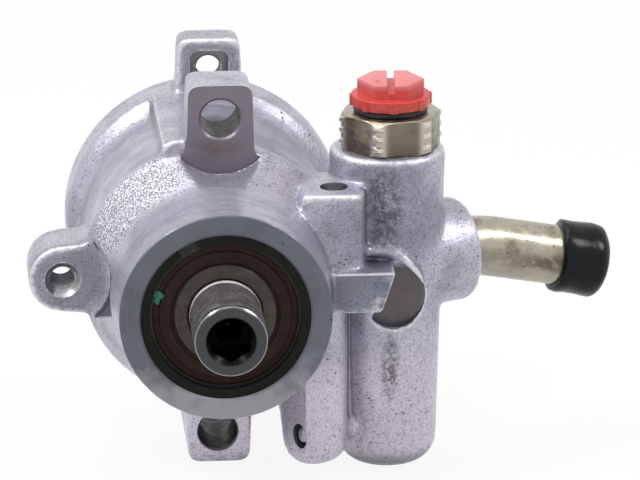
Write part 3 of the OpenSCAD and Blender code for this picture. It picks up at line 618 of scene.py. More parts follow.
def finish_cast(color):
    """Die-cast aluminium: gray skin with grain, pits, drag marks, dark smudges and a blasted shoulder, with
    painted glints on the shoulder, painted highlights on upper edges and painted shade in corners, on the
    underside and in broad patches.
    """
    f = Finish("cast_aluminium_skin", color, metallic=0.62, roughness=0.36)
    y, z, r = f.y, f.z, f.out_from_shaft()
    waist = f.times(f.between(y, 41, 72, 1.5), f.between(r, 28, 31.6, 0.6))
    hub_side = f.times(f.between(y, -1, 19, 3), f.between(r, 20, 26.6, 0.5))
    smooth_skin = f.math("MAXIMUM", f.times(waist, 0.85), f.times(hub_side, 0.6))
    rough_skin = f.math("SUBTRACT", 1.0, smooth_skin)
    cloud, mottle, grain = f.noise(12, 5, 0.6), f.noise(1.5, 6, 0.74), f.noise(0.5, 3, 0.7)
    f.tint(f.ramp(cloud, 0.38, 0.66, 0, 0.8), shade(color, 0.66))
    f.tint(f.fade(z, -12, -26, 0, 0.65), tuple(c * k for c, k in zip(color, (1.36, 1.28, 1.22))))
    f.tint(f.times(f.ramp(mottle, 0.52, 0.70, 0, 0.75), rough_skin), shade(color, 0.42))
    f.tint(f.times(f.ramp(grain, 0.50, 0.66, 0, 0.7), rough_skin), shade(color, 0.36))
    f.tint(f.times(f.ramp(grain, 0.28, 0.42, 0.5, 0), rough_skin), (0.80, 0.79, 0.82))
    f.tint(f.times(hub_side, f.ramp(f.streaks(1.1), 0.42, 0.64, 0, 0.55)), shade(color, 0.52))
    f.tint(f.times(waist, f.ramp(f.noise(7, 5, 0.6), 0.35, 0.6, 0, 0.7)), (0.30, 0.31, 0.35))
    # Broad darker patches: partly painted shade, partly darker tone
    for place, reach, share, tone in CAST_SHADE_AND_TONE:
        f.tint(f.times(f.near(place, reach, 0.45), share), tone, "MULTIPLY")
    # Lighter convex edges: partly wear, partly a painted highlight, kept off the lower edges and the hub's
    # front
    edge = f.plus(f.edge(), f.ramp(f.noise(1.5, 5, 0.7), 0.3, 0.7, -0.03, 0.03))
    worn_edge_and_highlight = f.times(f.ramp(edge, 0.045, 0.13, 0, 0.6), f.fade(z, -40, -25))
    f.tint(f.times(worn_edge_and_highlight, f.fade(y, 2, 8)), (0.93, 0.92, 0.95))
    # Painted shade in corners and creases
    f.tint(f.ramp(edge, -0.03, -0.10, 0, 0.7), shade(color, 0.36))
    # Painted shade on the underside: darker towards the bottom, with a wavy edge
    level = f.plus(z, f.ramp(mottle, 0.3, 0.7, -2 * MM, 2 * MM))
    f.tint(f.fade(level, -44, -48, 0, 0.75), shade(color, 0.30))
    blasted = f.times(f.near((-19, 27, 19), (17, 13, 17), 0.35), f.between(r, 26.6, 34, 0.8))
    # White specks: painted glints on the blasted shoulder; the dark specks are its grain
    sparkle = f.noise(0.40, 1, 0.5, distortion=0.6)
    f.tint(f.times(blasted, f.ramp(sparkle, 0.50, 0.40, 0, 0.8)), (0.95, 0.94, 0.97))
    f.tint(f.times(blasted, f.ramp(sparkle, 0.53, 0.62, 0, 0.75)), (0.13, 0.13, 0.15))
    stain = f.ramp(f.noise(1.5, 6, 0.8), 0.40, 0.56)
    smudge = 0.0
    for place, reach, soft in CAST_SMUDGES:
        smudge = f.plus(smudge, f.near(place, reach, soft))
    f.tint(f.times(f.times(smudge, stain), 0.8), (0.085, 0.08, 0.085))
    pitted = f.times(f.ramp(f.noise(6, 3), 0.50, 0.60), rough_skin)
    pits = f.times(f.ramp(f.cells(1.7), 0.10, 0.2, 1, 0), pitted)
    f.tint(f.times(pits, 0.85), (0.05, 0.05, 0.055))
    f.raise_by(f.noise(3.5, 4, 0.6), 0.16)
    f.raise_by(f.times(grain, rough_skin), 0.09)
    f.raise_by(f.times(blasted, sparkle), 0.35)
    f.raise_by(pits, -0.12)
    return f.done(f.ramp(cloud, 0.3, 0.7, 0.28, 0.44))


def finish_machined(color):
    """Faced aluminium: blue-gray with turning marks, a few nicks and a brown smudge on the top lug; painted
    shade in the pocket and the bolt holes, and painted light low on the hub's face.
    """
    f = Finish("machined_aluminium", color, metallic=0.6, roughness=0.38)
    y, z = f.y, f.z
    f.blotches(9, 4, 0.5, 0.4, 0.65, 0.6, shade(color, 0.74))
    f.tint(f.ramp(f.streaks(0.5), 0.5, 0.7, 0, 0.35), shade(color, 1.35))
    lug_face = f.near((0, 33, 35), (15, 2, 16), 0.2)
    f.tint(f.times(lug_face, 0.8), (0.235, 0.200, 0.235))
    lug_foot = f.near((0, 33, 31.5), (9, 3, 3.5), 0.9)
    f.tint(f.times(lug_foot, f.noise(3, 5)), (0.13, 0.095, 0.07))
    # Painted shade in the round pocket of the column
    pocket = f.near((42, 30.6, -5), (8, 1.5, 8), 0.2)
    f.tint(f.times(pocket, 0.9), (0.115, 0.095, 0.098))
    # Painted light: the hub's face lighter towards its bottom, with a wavy edge
    hub_face = f.between(y, -2, 3, 0.3)
    level = f.plus(z, f.ramp(f.noise(4, 4), 0.3, 0.7, -3 * MM, 3 * MM))
    f.tint(f.times(hub_face, f.fade(level, -9, -22, 0, 0.8)), (0.34, 0.325, 0.365))
    # Painted shade inside the top and bottom bolt holes
    wall = BOLT_R / MM + 0.25
    for hole, tone in ((TOP_HOLE, (0.052, 0.047, 0.046)), (LOW_HOLE, (0.026, 0.021, 0.020))):
        inside = f.near((hole.x / MM, 50, hole.z / MM), (wall, 1000, wall), 0.04)
        f.tint(f.times(inside, f.ramp(y, LUG_FACE + 0.5 * MM, LUG_FACE + 1.5 * MM)), tone)
    nicks = f.times(f.ramp(f.cells(3.2), 0.05, 0.11, 1, 0), f.ramp(f.noise(7), 0.5, 0.6))
    f.tint(nicks, (0.05, 0.05, 0.055))
    f.raise_by(f.noise(0.4, 2), 0.02)
    f.raise_by(f.streaks(0.35), 0.012)
    f.raise_by(nicks, -0.06)
    return f.done(f.ramp(f.noise(2.5, 4), 0.3, 0.7, 0.30, 0.48))


def finish_shaft(nose):
    """Ground steel with bright sides; painted shade darkens the nose's bevel and the end face, and deep
    painted shade fills the socket.
    """
    f = Finish("ground_shaft_steel", (0.88, 0.86, 0.90), metallic=0.95, roughness=0.26)
    y, r = f.y, f.out_from_shaft()
    f.blotches(4, 5, 0.65, 0.45, 0.7, 0.35, (0.40, 0.38, 0.40))
    # Painted shade on the nose's bevel and on the end face turned to the front
    bevel = f.ramp(y, nose + 0.9 * MM, nose + 1.5 * MM, 1, 0)
    f.tint(f.times(bevel, 0.85), (0.17, 0.17, 0.18))
    end_face = f.ramp(y, nose + 0.1 * MM, nose + 0.35 * MM, 1, 0)
    f.tint(f.times(end_face, 0.92), (0.045, 0.047, 0.048))
    # Painted shade in the hex socket
    socket = f.times(f.fade(r, 5.6, 6.2, 1, 0), f.fade(y, -4, -3, 1, 0))
    f.tint(socket, (0.006, 0.006, 0.006))
    return f.done(f.ramp(f.noise(3, 4), 0.3, 0.7, 0.21, 0.31))


def finish_plain_metal(name, color, roughness, metallic=1.0, grain=0.8, bump=0.006, **inputs):
    """Ground or plated steel with a little mottling."""
    f = Finish(name, color, metallic=metallic, roughness=roughness, **inputs)
    mottle = f.noise(3 * grain, 5, 0.65)
    f.tint(f.ramp(mottle, 0.4, 0.7, 0, 0.7), shade(color, 0.62))
    f.raise_by(f.noise(0.3 * grain, 2), bump)
    return f.done(f.ramp(mottle, 0.3, 0.7, roughness * 0.8, min(1, roughness * 1.3)))


def finish_union(top):
    """Dull zinc on steel: olive near the top, brown-gray below, and bright on the six corners, whose worn
    crests carry a painted highlight; painted light on the top face.
    """
    f = Finish("dull_zinc_union", (0.205, 0.178, 0.133), metallic=0.95, roughness=0.24)
    z = f.z
    f.tint(f.ramp(z, top - 8.5 * MM, top - 2 * MM, 0.8, 0), (0.120, 0.095, 0.072))
    f.blotches(6, 3, 0.5, 0.42, 0.66, 0.45, (0.105, 0.085, 0.066))
    # Painted highlight on the worn crests of the six corners
    points = NODES["discharge_fitting"].data.vertices
    corner = max((Vector((v.co.x, v.co.y)) - COLUMN.xy).length for v in points)
    out = f.distance((1, 1, 0), (-COLUMN.x, -COLUMN.y, 0))
    f.tint(f.ramp(out, corner - 1.3 * MM, corner - 0.3 * MM, 0, 0.9), (0.72, 0.67, 0.57))
    f.blotches(1.0, 4, 0.6, 0.58, 0.72, 0.35, (0.05, 0.042, 0.035))
    # Painted light on the top face and its edge
    f.tint(f.ramp(z, top - 0.5 * MM, top - 0.1 * MM, 0, 0.7), (0.46, 0.43, 0.35))
    f.raise_by(f.noise(2.5, 2, 0.4), 0.05)
    return f.done(f.ramp(f.noise(2, 4), 0.3, 0.7, 0.18, 0.34))


def finish_tube():
    """Yellow zinc on a drawn tube, with brown clouds and a few specks, and a painted reflection: a darker band
    along its middle and a lighter strip below it.
    """
    f = Finish("yellow_zinc_tube", (0.42, 0.392, 0.315), metallic=0.95, roughness=0.26)
    x = f.x
    f.blotches(9, 4, 0.6, 0.40, 0.62, 0.7, (0.30, 0.270, 0.205))
    f.blotches(5, 5, 0.65, 0.52, 0.68, 0.75, (0.17, 0.135, 0.10))
    specks = f.times(f.ramp(f.cells(2.1), 0.10, 0.18, 1, 0), f.ramp(f.noise(8), 0.48, 0.56))
    f.tint(f.times(specks, 0.8), (0.10, 0.075, 0.035))
    # Painted reflection: a darker band along the tube's middle and a lighter strip below it
    fall = f.times(f.math("SUBTRACT", x, 62 * MM), 0.21)
    level = f.plus(f.z, fall)
    band = f.times(f.between(level, -1.2, 2.6, 1.2), f.fade(x, 70, 84, 0.45, 1))
    f.tint(f.times(band, f.ramp(f.noise(2.5, 5, 0.6), 0.25, 0.5)), (0.120, 0.098, 0.078))
    f.tint(f.between(level, -5.6, -2.6, 1.0), (0.36, 0.335, 0.29), "LIGHTEN")
    f.raise_by(f.noise(5, 3), 0.08)
    f.raise_by(f.noise(0.5, 2), 0.012)
    return f.done(f.ramp(f.noise(3, 4), 0.3, 0.7, 0.18, 0.34))


def finish_soft(name, color, roughness, bump=0.01, grain=0.7, **inputs):
    """Rubber or plastic with a fine grain."""
    f = Finish(name, color, roughness=roughness, **inputs)
    f.blotches(4, 4, 0.5, 0.4, 0.7, 0.5, shade(color, 0.7))
    f.raise_by(f.noise(grain, 3), bump)
    return f.done(f.ramp(f.noise(2, 3), 0.3, 0.7, roughness * 0.8, min(1, roughness * 1.2)))


def finish_plug(color, top):
    """Red plastic with painted shade from the flange down and painted light that makes the head paler and
    pinker towards its top, with one pit there.
    """
    f = Finish("red_plug_plastic", color, roughness=0.36)
    z = f.z
    # Painted shade from the flange down, and painted light that makes the top of the head paler and pinker
    f.tint(f.ramp(z, top - 7 * MM, top - 5.2 * MM, 1, 0), shade(color, 0.58))
    f.tint(f.ramp(z, top - 1.6 * MM, top - 0.1 * MM, 0, 0.8), (0.70, 0.22, 0.24))
    f.blotches(2.2, 5, 0.7, 0.48, 0.66, 0.4, (0.68, 0.13, 0.12))
    pit = f.near((COLUMN.x / MM - 3.4, COLUMN.y / MM - 2.5, top / MM), (0.75, 0.75, 1.5), 0.5)
    f.tint(f.times(pit, 0.75), shade(color, 0.35))
    f.raise_by(pit, -0.25)
    f.raise_by(f.noise(1.5, 3), 0.04)
    return f.done(f.ramp(f.noise(2, 3), 0.3, 0.7, 0.28, 0.44))


FINISHES = {}


def make_finishes(settings):
    """Makes all the finishes, by name."""
    FINISHES.update(
        cast=finish_cast(tuple(settings.cast)),
        machined=finish_machined(tuple(settings.machined)),
        # A lighter copy of the machined aluminium: painted light on the walls inside holes and on their
        # threads
        bored=finish_plain_metal("bored_aluminium", (0.42, 0.41, 0.43), 0.3),
        shaft=finish_shaft(span_y("drive_shaft")[0]),
        race=finish_plain_metal("bearing_race_steel", (0.068, 0.061, 0.052), 0.42, 0.85),
        dark_race=finish_plain_metal("oiled_race_steel", (0.035, 0.033, 0.028), 0.42, 0.8),
        bright=finish_plain_metal("bright_ground_steel", (0.42, 0.42, 0.43), 0.25),
        spring=finish_plain_metal(
            "phosphated_spring_steel", (0.009, 0.009, 0.008), 0.45, 0.4, Specular_IOR_Level=0.2),
        sintered=finish_plain_metal("sintered_steel", (0.30, 0.30, 0.31), 0.45),
        cover=finish_plain_metal("die_cast_cover", (0.44, 0.44, 0.46), 0.42, 0.85, 1.5, 0.03),
        fitting=finish_union(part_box("discharge_fitting")[1].z),
        tube=finish_tube(),
        seal=finish_soft("brown_seal_rubber", (0.027, 0.0135, 0.010), 0.55, Specular_IOR_Level=0.15),
        rubber=finish_soft("black_rubber", (0.010, 0.010, 0.011), 0.42),
        vinyl=finish_soft("black_vinyl", (0.006, 0.006, 0.009), 0.20, 0.10, 3.0, Specular_IOR_Level=0.18),
        plug=finish_plug(tuple(settings.plug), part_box("shipping_plug")[1].z),
        paint=finish_soft("green_paint_dab", (0.004, 0.16, 0.10), 0.35, 0.06),
    )


# Casting and machining of the housing

def axis_at(hole):
    """Foot of a hole's axis along the shaft's direction."""
    return hole.x, 0, hole.z


def passage_way():
    """Middle of the passage plug and the way that its hole runs into the column."""
    low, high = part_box("passage_plug")
    middle = (low + high) / 2
    return middle, Vector((COLUMN.x - middle.x, COLUMN.y - middle.y, 0)).normalized()


def lug_outline(hole):
    """Outline of the top lug, for the metal that its facing takes off again."""
    half, foot, top, corner = 7.65 * MM, hole.z - 9.5 * MM, hole.z + 8.2 * MM, 2.2 * MM
    low, high = hole.x - half, hole.x + half
    return [
        (low, foot), (high, foot),
        *arc(high - corner, top - corner, corner, 0, math.pi / 2, 5),
        *arc(low + corner, top - corner, corner, math.pi / 2, math.pi, 5),
    ]


def recess_outline(hole):
    """Outline of the rear lug's recess: round below, and above flat with rounded corners."""
    top, corner = hole.z + 5.3 * MM, 2.2 * MM
    return [
        *arc(hole.x, hole.z, BOLT_R, math.pi, 2 * math.pi, 16),
        *arc(hole.x + BOLT_R - corner, top - corner, corner, 0, math.pi / 2, 16),
        *arc(hole.x - BOLT_R + corner, top - corner, corner, math.pi / 2, math.pi, 16),
    ]


def slot_outline(hole, radius, half):
    """Outline of the slot that the spotface tool leaves: straight sides and a round floor."""
    start, top = math.acos(half / radius), hole.z + 20 * MM
    floor = arc(hole.x, hole.z, radius, -start, start - math.pi, 32)
    return [(hole.x + half, top), *floor, (hole.x - half, top)]


def pocket_outline(radius, edge):
    """Outline of the column's pocket: a circle cut off by the slanted side of the block before it."""
    def beyond(x, z):
        return x - (edge + 0.34 * (z - 4.2 * MM))

    ring = arc(POCKET_X, POCKET_Z, radius, 0, 2 * math.pi, 96)[:-1]
    points = []
    for here, after in zip(ring, ring[1:] + ring[:1]):
        a, b = beyond(*here), beyond(*after)
        if a >= 0:
            points.append(here)
        if (a >= 0) != (b >= 0):
            share = a / (a - b)
            points.append(tuple(h + (n - h) * share for h, n in zip(here, after)))
    return points


def bore_fillers(hub):
    """Solid bars that close the bores of the CAD housing, and the metal that facing takes off again."""
    middle, way = passage_way()
    top, wide = axis_at(TOP_HOLE), BOLT_R + 0.3 * MM
    above = (TOP_HOLE.x, 0, TOP_HOLE.z + 1.2 * MM)
    screw = (SCREW_HOLE.x, SCREW_HOLE.y, 0)
    return joined([
        prism(lug_outline(TOP_HOLE), LUG_FACE - 2.4 * MM, LUG_FACE + 1 * MM),
        rod(hub, -2 * MM, 3 * MM, segments=128),
        rod(*mm(21.6, 0, 15)),
        rod(*mm(15.5, 14, 26)),
        rod(*mm(10, 20, 39)),
        rod(CHAMBER_R + 1.9 * MM, 37.9 * MM, BODY_REAR),
        rod(wide, LUG_FACE, LUG_REAR - 1.5 * MM, REAR, top),
        rod(wide, REAR_LUG, REAR_LUG + 10 * MM, REAR, top),
        rod(wide, REAR_LUG, REAR_LUG + 10 * MM, REAR, above),
        rod(wide, LUG_FACE - 0.5 * MM, 65 * MM, REAR, axis_at(LOW_HOLE)),
        rod(TAP_R + 1.2 * MM, LUG_FACE, LUG_REAR, REAR, axis_at(LEFT_HOLE)),
        rod(SCREW_R + 0.3 * MM, 9 * MM, SCREW_MOUTH, UP, screw),
        rod(VALVE_R + 0.5 * MM, VALVE_FLOOR - 0.4 * MM, COLUMN_TOP - 14 * MM, UP, COLUMN_FOOT),
        rod(10.5 * MM, COLUMN_TOP - 17 * MM, COLUMN_TOP - 1.5 * MM, UP, COLUMN_FOOT),
        rod(11.4 * MM, COLUMN_TOP - 3 * MM, COLUMN_TOP, UP, COLUMN_FOOT),
        rod(7.6 * MM, 0, PORT_FACE, PORT_WAY, PORT),
        rod(*mm(3.3, -4, 18), way, middle),
        rod(*mm(4, 20, 41), Vector((1, 0, 0)), mm(0, 41.5, 0.8)),
    ])


def drilled(radius, face, depth, hole, bevel):
    """A hole that runs to the rear from a face, with a bevelled mouth."""
    front = face - 3 * MM
    return lathe([
        (0, front), (radius + bevel, front), (radius + bevel, face), (radius, face + bevel),
        (radius, depth), (0, depth),
    ], axis_at(hole), REAR, 64)


def turned_profile(skim, hub):
    """Profile of the hub's face and of the bores along the shaft, from front to rear."""
    bore = BEARING_R + 0.02 * MM
    groove = radius_y("bearing_retaining_ring") + 0.1 * MM
    seal_r, seal_rear = radius_y("shaft_seal") + 0.02 * MM, span_y("shaft_seal")[1]
    neck = SHAFT_R + 0.8 * MM
    wall = span_y("thrust_plate")[0]
    ring_front, ring_rear = span_y("cover_retaining_ring")
    ring_groove = radius_y("cover_retaining_ring") + 0.1 * MM
    face = BODY_REAR - skim
    return [
        (0, -9 * MM), (hub + 3 * MM, -9 * MM), (hub + 3 * MM, 3.4 * MM), (hub - 0.3 * MM, skim),
        (bore + 0.45 * MM, skim), (bore, 0.55 * MM),
        (bore, RING_FRONT), (groove, RING_FRONT), (groove, RING_REAR), (bore, RING_REAR),
        (bore, BEARING_REAR), (seal_r, BEARING_REAR), (seal_r, seal_rear), (neck, seal_rear),
        (neck, wall), (CHAMBER_R, wall),
        (CHAMBER_R, ring_front), (ring_groove, ring_front), (ring_groove, ring_rear), (CHAMBER_R, ring_rear),
        (CHAMBER_R, BODY_REAR - 1.2 * MM), (CHAMBER_R + 1 * MM, face),
        (40 * MM, face), (40 * MM, BODY_REAR + 5 * MM), (0, BODY_REAR + 5 * MM),
    ]


def machining_cuts(settings):
    """Everything that is turned, faced or drilled after casting."""
    skim = settings.skim
    middle, way = passage_way()
    union_floor, seat = COLUMN_TOP - 16 * MM, COLUMN_TOP - 2.2 * MM
    column = [
        (0, VALVE_FLOOR), (VALVE_R, VALVE_FLOOR), (VALVE_R, union_floor), (UNION_R, union_floor),
        (UNION_R, seat), (UNION_SEAT_R, seat), (UNION_SEAT_R, COLUMN_TOP + 5 * MM), (0, COLUMN_TOP + 5 * MM),
    ]
    port_floor, port_face, port_front = 12 * MM, PORT_FACE - skim, 24 * MM
    port = [
        (0, port_floor), (PORT_R, port_floor), (PORT_R, port_face), (14.5 * MM, port_face),
        (14.5 * MM, port_front), (0, port_front),
    ]
    screw_floor, mouth_r = 10.9 * MM, SCREW_R + 0.35 * MM
    screw = [
        (0, screw_floor), (SCREW_R, screw_floor), (SCREW_R, SCREW_MOUTH - 2.2 * MM), (mouth_r, SCREW_MOUTH),
        (mouth_r, SCREW_MOUTH + 3 * MM), (0, SCREW_MOUTH + 3 * MM),
    ]
    block = [mm(*p) for p in ((27.2, 3.7), (41, 3.7), (37.9, -5.4), (29.4, -5.4), (27.2, -4))]
    slot = slot_outline(TOP_HOLE, settings.top_spotface - 0.3 * MM, settings.slot_width / 2 - 0.3 * MM)
    pocket = pocket_outline(settings.pocket, BLOCK_SIDE + skim)
    spot = settings.left_spotface + skim
    face = LUG_FACE + skim
    return [
        ("machined", lathe(turned_profile(skim, settings.hub_radius), segments=160)),
        ("machined", prism(slot, LUG_FACE - 5 * MM, face)),
        ("machined", rod(spot, 18 * MM, LUG_FACE - 0.35 * MM, REAR, axis_at(LEFT_HOLE), 96)),
        ("machined", drilled(BOLT_R, face, LUG_REAR, TOP_HOLE, 0.5 * MM)),
        ("bored", drilled(TAP_R, LUG_FACE, LUG_REAR + 2 * MM, LEFT_HOLE, 0.9 * MM)),
        ("bored", prism(recess_outline(TOP_HOLE), REAR_LUG - 2 * MM, REAR_LUG + 4 * MM)),
        ("bored", rod(TAP_R, REAR_LUG + 2 * MM, REAR_LUG + 12 * MM, REAR, axis_at(TOP_HOLE))),
        ("machined", drilled(BOLT_R, LUG_FACE - 0.4 * MM, 66 * MM, LOW_HOLE, 0.3 * MM)),
        ("bored", lathe(screw, (SCREW_HOLE.x, SCREW_HOLE.y, 0), UP, 48)),
        ("machined", lathe(column, COLUMN_FOOT, UP, 96)),
        ("machined", lathe(port, PORT, PORT_WAY, 96)),
        ("machined", prism(pocket, 16 * MM, POCKET_FLOOR + skim)),
        ("cast", prism(block, 12 * MM, BLOCK_FACE + skim)),
        ("machined", rod(PASSAGE_R, -9 * MM, 14 * MM, way, middle, 48)),
    ]


class PUMP_OT_casting(bpy.types.Operator):
    """Recasts the housing with soft edges and machines its faces and bores"""

    bl_idname = "pump.casting"
    bl_label = "Casting"

    def execute(self, context):
        settings = context.scene.pump_casting
        skin = mesh_object("pump_casting", *bore_fillers(settings.hub_radius))
        whole = bmesh.new()
        whole.from_mesh(NODES["housing"].data)
        bmesh.ops.remove_doubles(whole, verts=whole.verts, dist=1e-6)
        whole.from_mesh(skin.data)
        for face in whole.faces:
            face.material_index = 0
        whole.to_mesh(skin.data)
        whole.free()
        remesh = skin.modifiers.new("skin", "REMESH")
        remesh.mode = "VOXEL"
        remesh.voxel_size = settings.voxel
        soften = skin.modifiers.new("soften", "SMOOTH")
        soften.factor = 0.5
        soften.iterations = settings.soften
        applied(skin)
        skin.data.materials.clear()
        skin.data.materials.append(FINISHES["cast"])
        skin.data.materials.append(FINISHES["machined"])
        for finish, shape in machining_cuts(settings):
            tool = mesh_object("cutter", *shape, [FINISHES[finish]])
            cut = skin.modifiers.new("cut", "BOOLEAN")
            cut.operation = "DIFFERENCE"
            cut.solver = "MANIFOLD"
            cut.material_mode = "TRANSFER"
            cut.object = tool
            applied(skin)
            dropped(tool)
        edges_marked(shaded(skin, 34))
        carried(skin, PUMP, "cast_aluminium", "housing")
        return {"FINISHED"}


class PUMP_OT_turned_steel(bpy.types.Operator):
    """Gives the shaft, the bearing, the rings and the inner pieces their finishes"""

    bl_idname = "pump.turned_steel"
    bl_label = "Turned steel"

    nodes = {
        "shaft": ("drive_shaft",),
        "race": ("bearing_inner_race",),
        "dark_race": ("bearing_outer_race",),
        "bright": ("bearing_balls", "vanes", "dowel_pins", "flow_control_spool", "passage_plug"),
        "sintered": ("bearing_cage", "thrust_plate", "cam_ring", "rotor", "pressure_plate"),
        "spring": ("bearing_retaining_ring", "rotor_retaining_ring", "cover_retaining_ring",
                   "pressure_spring", "flow_control_spring"),
        "seal": ("bearing_seals",),
        "rubber": ("shaft_seal", "pressure_plate_o_ring", "end_cover_o_ring", "fitting_o_ring",
                   "plug_o_ring"),
        "cover": ("end_cover",),
        "fitting": ("discharge_fitting",),
        "tube": ("return_tube",),
        "vinyl": ("tube_cap",),
        "plug": ("shipping_plug",),
    }

    def execute(self, context):
        for finish, names in self.nodes.items():
            for name in names:
                mesh = NODES[name].data
                mesh.materials.clear()
                mesh.materials.append(FINISHES[finish])
        return {"FINISHED"}


class PUMP_OT_bearing(bpy.types.Operator):
    """Turns the bearing's seals with their lips and dabs green paint on the front one"""

    bl_idname = "pump.bearing"
    bl_label = "Bearing"

    def execute(self, context):
        low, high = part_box("bearing_seals")
        outer, inner = radius_y("bearing_seals") / MM, radius_y("bearing_inner_race") / MM + 0.05
        lips = [
            (outer, 0.9), (outer, 0.15), (outer - 0.25, 0.0), (outer - 0.9, 0.0), (outer - 1.15, 0.28),
            (outer - 1.5, 0.28), (outer - 1.75, 0.02), (inner + 1.5, 0.12), (inner + 1.2, 0.02),
            (inner + 0.7, 0.02), (inner + 0.45, 0.35), (inner, 0.45), (inner, 0.9),
        ]
        front = [(r * MM, low.y + a * MM) for r, a in lips]
        rear = [(r * MM, high.y - a * MM) for r, a in lips]
        rings = joined([lathe(profile, segments=128, closed=True) for profile in (front, rear)])
        seals = mesh_object("seal_rings", *rings, [FINISHES["seal"]])
        carried(shaded(seals), PUMP, "brown_seal", "bearing_seals")
        self.dab(Vector((-15.95 * MM, low.y - 0.3 * MM, 4.9 * MM)))
        return {"FINISHED"}

    def dab(self, place):
        """An uneven drop of paint across the edge of the seal."""
        rings, sides, size, thick = 5, 28, 1.4 * MM, 0.26 * MM
        verts = []
        for i in range(rings + 1):
            share = i / rings
            for k in range(sides):
                t = 2 * math.pi * k / sides
                r = size * share * (1 + 0.22 * math.sin(3 * t + 0.6) + 0.13 * math.sin(5 * t + 2))
                lift = thick * (1 - share ** 2) * (1 + 0.3 * math.sin(2 * t))
                verts.append(place + Vector((0.85 * r * math.cos(t), -lift, 1.12 * r * math.sin(t))))
        verts += [v + Vector((0, 0.32 * MM, 0)) for v in verts[-sides:]]
        faces = ring_faces(rings + 2, sides)
        faces.append(tuple((rings + 1) * sides + k for k in range(sides)))
        dab = mesh_object("paint_dab", verts, faces, [FINISHES["paint"]])
        carried(shaded(dab, 50), PUMP, None)


class PUMP_OT_valve(bpy.types.Operator):
    """Puts a merged copy of the valve's spring in place of the CAD spring"""

    bl_idname = "pump.valve"
    bl_label = "Valve spring"

    def execute(self, context):
        spring = shaded(copied("valve_spring", "flow_control_spring", "spring"), 60)
        carried(spring, PUMP, "spring_steel", "flow_control_spring")
        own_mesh(spring)
        return {"FINISHED"}


class PUMP_OT_threads(bpy.types.Operator):
    """Cuts thread turns in the left ear, the upright boss and the rear lug"""

    bl_idname = "pump.threads"
    bl_label = "Threads"

    def execute(self, context):
        pitch, half, crest, depth = mm(1.25, 0.55, 0.08, 0.5)
        for name, radius, place, axis, count in self.holes():
            root, tip = radius + 0.1 * MM, radius - depth
            profile = [(root, -half), (tip, -crest), (tip, crest), (root, half)]
            turn = lathe(profile, axis=UP, segments=48, closed=True)
            ring = mesh_object(name, *turn, [FINISHES["bored"]])
            repeated(ring, "bored", count, 0.0, pitch)
            carried(shaded(placed(ring, place, axis), 50), PUMP, "cast_aluminium")
        return {"FINISHED"}

    def holes(self):
        """Name, radius, first turn, axis and number of turns of each thread."""
        top = mount_place("top_thread")[0]
        left = Vector((LEFT_HOLE.x, LUG_FACE + 1.6 * MM, LEFT_HOLE.z))
        yield "left_ear_thread", TAP_R, left, REAR, 11
        yield "rear_lug_thread", TAP_R, Vector((top.x, REAR_LUG + 4.8 * MM, top.z)), REAR, 4
        yield "boss_thread", SCREW_R, Vector((SCREW_HOLE.x, SCREW_HOLE.y, 12 * MM)), UP, 7


class PUMP_OT_union(bpy.types.Operator):
    """Rounds the edges of the union and of the plug, and sets ribs round the plug's flange"""

    bl_idname = "pump.union"
    bl_label = "Union and plug"

    def execute(self, context):
        union = softened("hexagon_union", "discharge_fitting", "fitting", 0.16 * MM)
        carried(union, PUMP, "olive_zinc", "discharge_fitting")
        plug = softened("red_plug", "shipping_plug", "plug", 0.3 * MM)
        about = Matrix.Translation(COLUMN_FOOT)
        plug.data.transform(about @ Matrix.Rotation(math.radians(-4.65), 4, "Z") @ about.inverted())
        carried(plug, PLUG, "red_plastic", "shipping_plug")
        self.ribs()
        return {"FINISHED"}

    def ribs(self):
        """Eight upright ribs round the flange."""
        low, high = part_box("shipping_plug")
        radius = (high.x - low.x) / 2
        half, deep, tall = mm(0.8, 0.4, 2.55)
        count = 8
        foot, root = half * 1.5, radius - 0.3 * MM
        outline = rounded([
            (0, -foot), (root, -foot), (radius + deep, -half), (radius + deep, half), (root, foot), (0, foot),
        ], 0.2 * MM)
        outline = [(max(x, radius - 1 * MM), y) for x, y in outline]
        rib = mesh_object("plug_ribs", *prism(outline, 0.05 * MM, tall, upright=True), [FINISHES["plug"]])
        repeated(rib, "plug", count, 2 * math.pi / count)
        placed(rib, Vector((COLUMN.x, COLUMN.y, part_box("plug_o_ring")[1].z)))
        carried(shaded(rib, 40), PLUG, "red_plastic")


